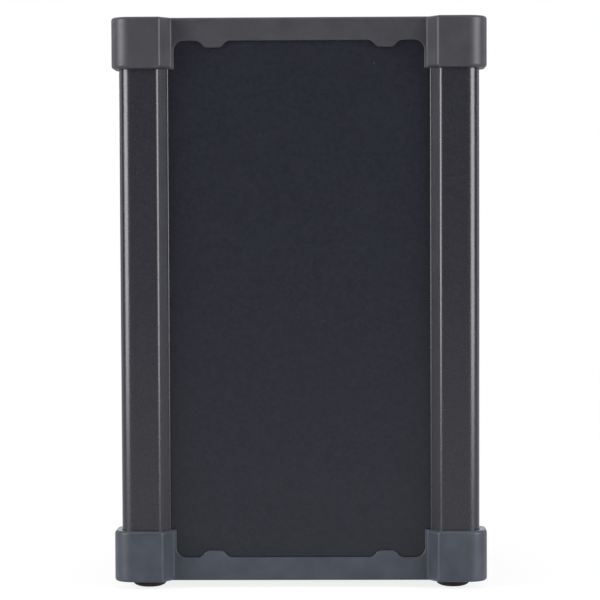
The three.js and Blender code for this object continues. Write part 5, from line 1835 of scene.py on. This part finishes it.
def make_rocker_frame():
    rim = 1.6 * mm
    body = rounded_plate(
        "rocker_surround", switch_width + rim, switch_height + rim, 1.4 * mm, socket_flange_low, rocker_face,
    )
    weld_on(body, rounded_plate(
        "body", switch_width, switch_height, 0.4 * mm, well_floor - 2 * mm, rocker_face - 0.5 * mm, steps=2,
    ))
    well = rounded_plate(
        "well", rocker_width + 2 * fit_gap, 2 * (rocker_reach + fit_gap), 0.3 * mm,
        well_floor, rocker_face + overrun, steps=2,
    )
    bore = put(
        add_bar("bore", rocker_bore_radius, -rocker_bore_reach, rocker_bore_reach, sides=24),
        turns=(0, pi / 2, 0), place=(0, 0, rocker_axis_out),
    )
    cut_away(body, well, bore)
    soften(body, 0.35 * mm, segments=3)
    return dress_on_rear(body, rocker_place, gloss_plastic, "case", "black_plastic", "rocker_frame")


make_rocker_frame()

# %% [markdown]
# The rocker is a short bar whose section is two wings that meet in a shallow valley. It
# tips on two pins. A drum gives both rounded ends, two blocks plane the wings off, and it is
# turned by its resting tilt last.

# %% Rocker
rocker_tilt = radians(8)
wing_angle = radians(24)
low_angle = radians(15)


def make_rocker():
    half_width = rocker_width / 2
    drum = add_bar("power_switch_rocker", rocker_reach, -half_width, half_width, sides=96)
    put(drum, turns=(0, pi / 2, 0))
    reach = 2 * rocker_reach
    wing_height = rocker_reach * sin(wing_angle)
    valley = wing_height - rocker_reach * cos(wing_angle) * tan(rocker_tilt)
    for half_turn in (0, pi):
        plane = add_block("plane", (-reach, 0, 0), (reach, reach, reach))
        put(plane, turns=(rocker_tilt, 0, 0))
        put(plane, turns=(0, 0, half_turn), place=(0, 0, valley))
        cut_away(drum, plane)
    base = add_block("base", (-reach, -reach, -reach), (reach, reach, -rocker_reach * sin(low_angle)))
    cut_away(drum, base)
    pins = add_bar("pins", rocker_pin_radius, -rocker_pin_reach, rocker_pin_reach, sides=24)
    weld_on(drum, put(pins, turns=(0, pi / 2, 0)))
    mark_floor = wing_height - 0.85 * mm
    mark_middle = (0, 5.6 * mm)
    ring = add_bar("ring", 2.1 * mm, 0, reach, mark_middle, 32)
    ring_core = add_bar("core", 1.5 * mm, -overrun, reach + overrun, mark_middle, 32)
    below = add_bar("below", 3 * mm, -reach, mark_floor, mark_middle, 32)
    cut_away(ring, ring_core, below)
    bar = add_block("bar", (-0.35 * mm, -7.6 * mm, mark_floor), (0.35 * mm, -3.6 * mm, reach))
    cut_away(drum, ring, bar)
    return soften(merge_close_points(drum), 0.3 * mm, segments=3)


rocker = make_rocker()
put(rocker, turns=(rocker_tilt, 0, 0), place=(*rocker_place, rocker_axis_out))
dress(to_side(rocker, "rear"), rocker_plastic, "power_rocker", "rocker_plastic", "power_rocker")

# %% [markdown]
# A handle is a steel plate with two ears and a black grip that hangs flat against the side.
# The grip starts as a flat plate: its lower corners are rounded, the middle is inset and
# deleted so that the wall stays even, the top is cut open, and the wall is given its depth.

# %% Side handles
plate_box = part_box("right_handle_plate")
handle_span = plate_box[1].y - plate_box[0].y
handle_height = (plate_box[0].z + plate_box[1].z) / 2
ear_face = plate_box[1].x - panel_out
bail_low, bail_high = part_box("right_handle_bail")
bail_axis_out = (bail_low.x + bail_high.x) / 2 - panel_out
bail_pin_radius = 2.2 * mm
handle_plate_face = 1.8 * mm
ear_high = handle_span / 2 - 3.7 * mm
ear_low = ear_high - 7 * mm
bail_bore = bail_pin_radius + 0.25 * mm


def make_handle_plate(side):
    plate = rounded_plate(
        side + "_handle_mount", handle_span, 30 * mm, 3 * mm, fit_gap, handle_plate_face, steps=8,
    )
    ears = []
    reach = 6 * mm
    for start, end in ((ear_low, ear_high), (-ear_high, -ear_low)):
        ear = add_block("ear", (start, -reach, fit_gap + 0.2 * mm), (end, reach, ear_face))
        ears.append(round_edges(
            ear, 3.4 * mm, 6,
            lambda middle, along: abs(along.x) > 0.99 and middle.z > ear_face - near,
        ))
    weld_on(plate, *ears)
    bore_reach = ear_low + 5.8 * mm
    bore = put(
        add_bar("bore", bail_bore, -bore_reach, bore_reach, sides=32),
        turns=(0, pi / 2, 0), place=(0, 0, bail_axis_out),
    )
    cut_away(plate, bore)
    soften(plate, 0.4 * mm, segments=3)
    put(plate, place=(0, handle_height, 0))
    return dress(to_side(plate, side), sheet_coat, "case", "sheet_coat", side + "_handle_plate")


def make_bail(side):
    half_span = ear_low - fit_gap
    bar = 9 * mm
    top = bail_high.z - handle_height
    drop = handle_height - bail_low.z
    depth = bail_high.x - bail_low.x
    corner = 13 * mm
    bpy.ops.object.select_all(action="DESELECT")
    blank_top = top + 2 * bar
    bpy.ops.mesh.primitive_plane_add(size=1, location=(0, (blank_top - drop) / 2, 0))
    bpy.context.active_object.scale = (2 * half_span, blank_top + drop, 1)
    bail = name_new(side + "_grip")
    bpy.ops.object.mode_set(mode="EDIT")
    bpy.ops.mesh.select_mode(type="VERT")
    bpy.ops.mesh.select_all(action="DESELECT")
    outline = bmesh.from_edit_mesh(bail.data)
    for point in outline.verts:
        point.select_set(point.co.y < 0)
    bmesh.update_edit_mesh(bail.data)
    bpy.ops.mesh.bevel(offset=corner, segments=10, affect="VERTICES")
    bpy.ops.mesh.select_mode(type="FACE")
    bpy.ops.mesh.select_all(action="SELECT")
    bpy.ops.mesh.inset(thickness=bar)
    bpy.ops.mesh.delete(type="FACE")
    bpy.ops.mesh.select_all(action="SELECT")
    bpy.ops.mesh.bisect(plane_co=(0, top, 0), plane_no=(0, 1, 0), clear_outer=True)
    bpy.ops.mesh.select_all(action="SELECT")
    bpy.ops.mesh.extrude_region_move(TRANSFORM_OT_translate={"value": (0, 0, depth)})
    bpy.ops.mesh.select_all(action="SELECT")
    bpy.ops.mesh.normals_make_consistent(inside=False)
    bpy.ops.object.mode_set(mode="OBJECT")
    put(bail, place=(0, 0, -depth / 2))
    soften(bail, 1.8 * mm, segments=4, sharper_than=60)
    pin_start, pin_end = half_span - bar / 2, half_span + 5.5 * mm
    pins = []
    for low, high in ((pin_start, pin_end), (-pin_end, -pin_start)):
        pin = soften(add_bar("pin", bail_pin_radius, low, high, sides=32), 0.4 * mm, segments=2)
        pins.append(put(pin, turns=(0, pi / 2, 0)))
    weld_on(bail, *pins)
    put(bail, place=(0, handle_height, bail_axis_out))
    return dress(to_side(bail, side), black_plastic, side + "_handle", "black_plastic", side + "_handle_bail")


for side in ("left", "right"):
    make_handle_plate(side)
    make_bail(side)

# %% [markdown]
# Screws hold nearly everything, and a machine without them looks like a toy. One pan-head
# screw is turned from its half outline and a cross is cut in it. Every other screw is a
# copy, turned by an angle that steps from one to the next, as a hand would leave them.

# %% Screws
screw_twist = radians(37)
screw_numbers = itertools.count()


def screw_profile(radius, height):
    points = [(0, 0), (radius, 0), (radius, 0.25 * height)]
    for step in range(1, 5):
        angle = pi / 2 * step / 5
        points.append((
            radius * (1 - 0.55 * (1 - cos(angle))),
            height * (0.25 + 0.75 * sin(angle)),
        ))
    return points + [(0.25 * radius, height), (0, height)]


def model_screw(radius, height):
    head = turn_profile("screw", screw_profile(radius, height), 32)
    arm, width = 0.55 * radius, 0.2 * radius
    first = add_block("arm", (-arm, -width / 2, 0.35 * height), (arm, width / 2, height + overrun))
    second = add_block("arm", (-width / 2, -arm, 0.35 * height), (width / 2, arm, height + overrun))
    return soften(cut_away(head, first, second), 0.04 * radius, segments=1, sharper_than=50)


def screws_on(name, model, places, low, side=None):
    """Copies of a screw at places on a face: on a side of the case, or on the top"""
    copies = []
    for across, up in places:
        turn = next(screw_numbers) * screw_twist
        copies.append(put(copy_of(model, "screw"), turns=(0, 0, turn), place=(across, up, low)))
    group = gather(name, copies)
    if side:
        to_side(group, side)
    return dress(group, zinc_sheet, "case", "zinc_sheet")


big_screw = model_screw(3.4 * mm, 1.9 * mm)
small_screw = model_screw(2.5 * mm, 1.4 * mm)
tiny_screw = model_screw(1.9 * mm, 1.0 * mm)
clear = 0.02 * mm

fan_screws = square_of(fan_place, fan_screw_reach, fan_screw_reach)
screws_on("fan_guard_screws", small_screw, fan_screws, guard_high - eye_inset + clear, "rear")
bezel_screws = square_of(bezel_place, 52.5 * mm, 18.5 * mm)
screws_on("bezel_screws", tiny_screw, bezel_screws, bezel_face + clear, "rear")
socket_screws = []
for across, up in (input_place, output_place):
    socket_screws.append((across - 9.7 * mm, up + 13.4 * mm))
    socket_screws.append((across + 9.7 * mm, up - 13.4 * mm))
screws_on("socket_screws", tiny_screw, socket_screws, socket_face + clear, "rear")
for side in ("left", "right"):
    places = square_of((0, handle_height), ear_low - 14 * mm, 10 * mm)
    screws_on(side + "_handle_screws", big_screw, places, handle_plate_face + clear, side)
outlet_reach = 23.6 * mm * sin(pi / 4) + 1.1 * mm
outlet_screws = square_of(outlet_centre[:2], outlet_reach, outlet_reach)
screws_on("outlet_screws", small_screw, outlet_screws, flange_low + flange_thickness + clear)
for model in (big_screw, small_screw, tiny_screw):
    bpy.data.objects.remove(model)
print("screws:", next(screw_numbers))
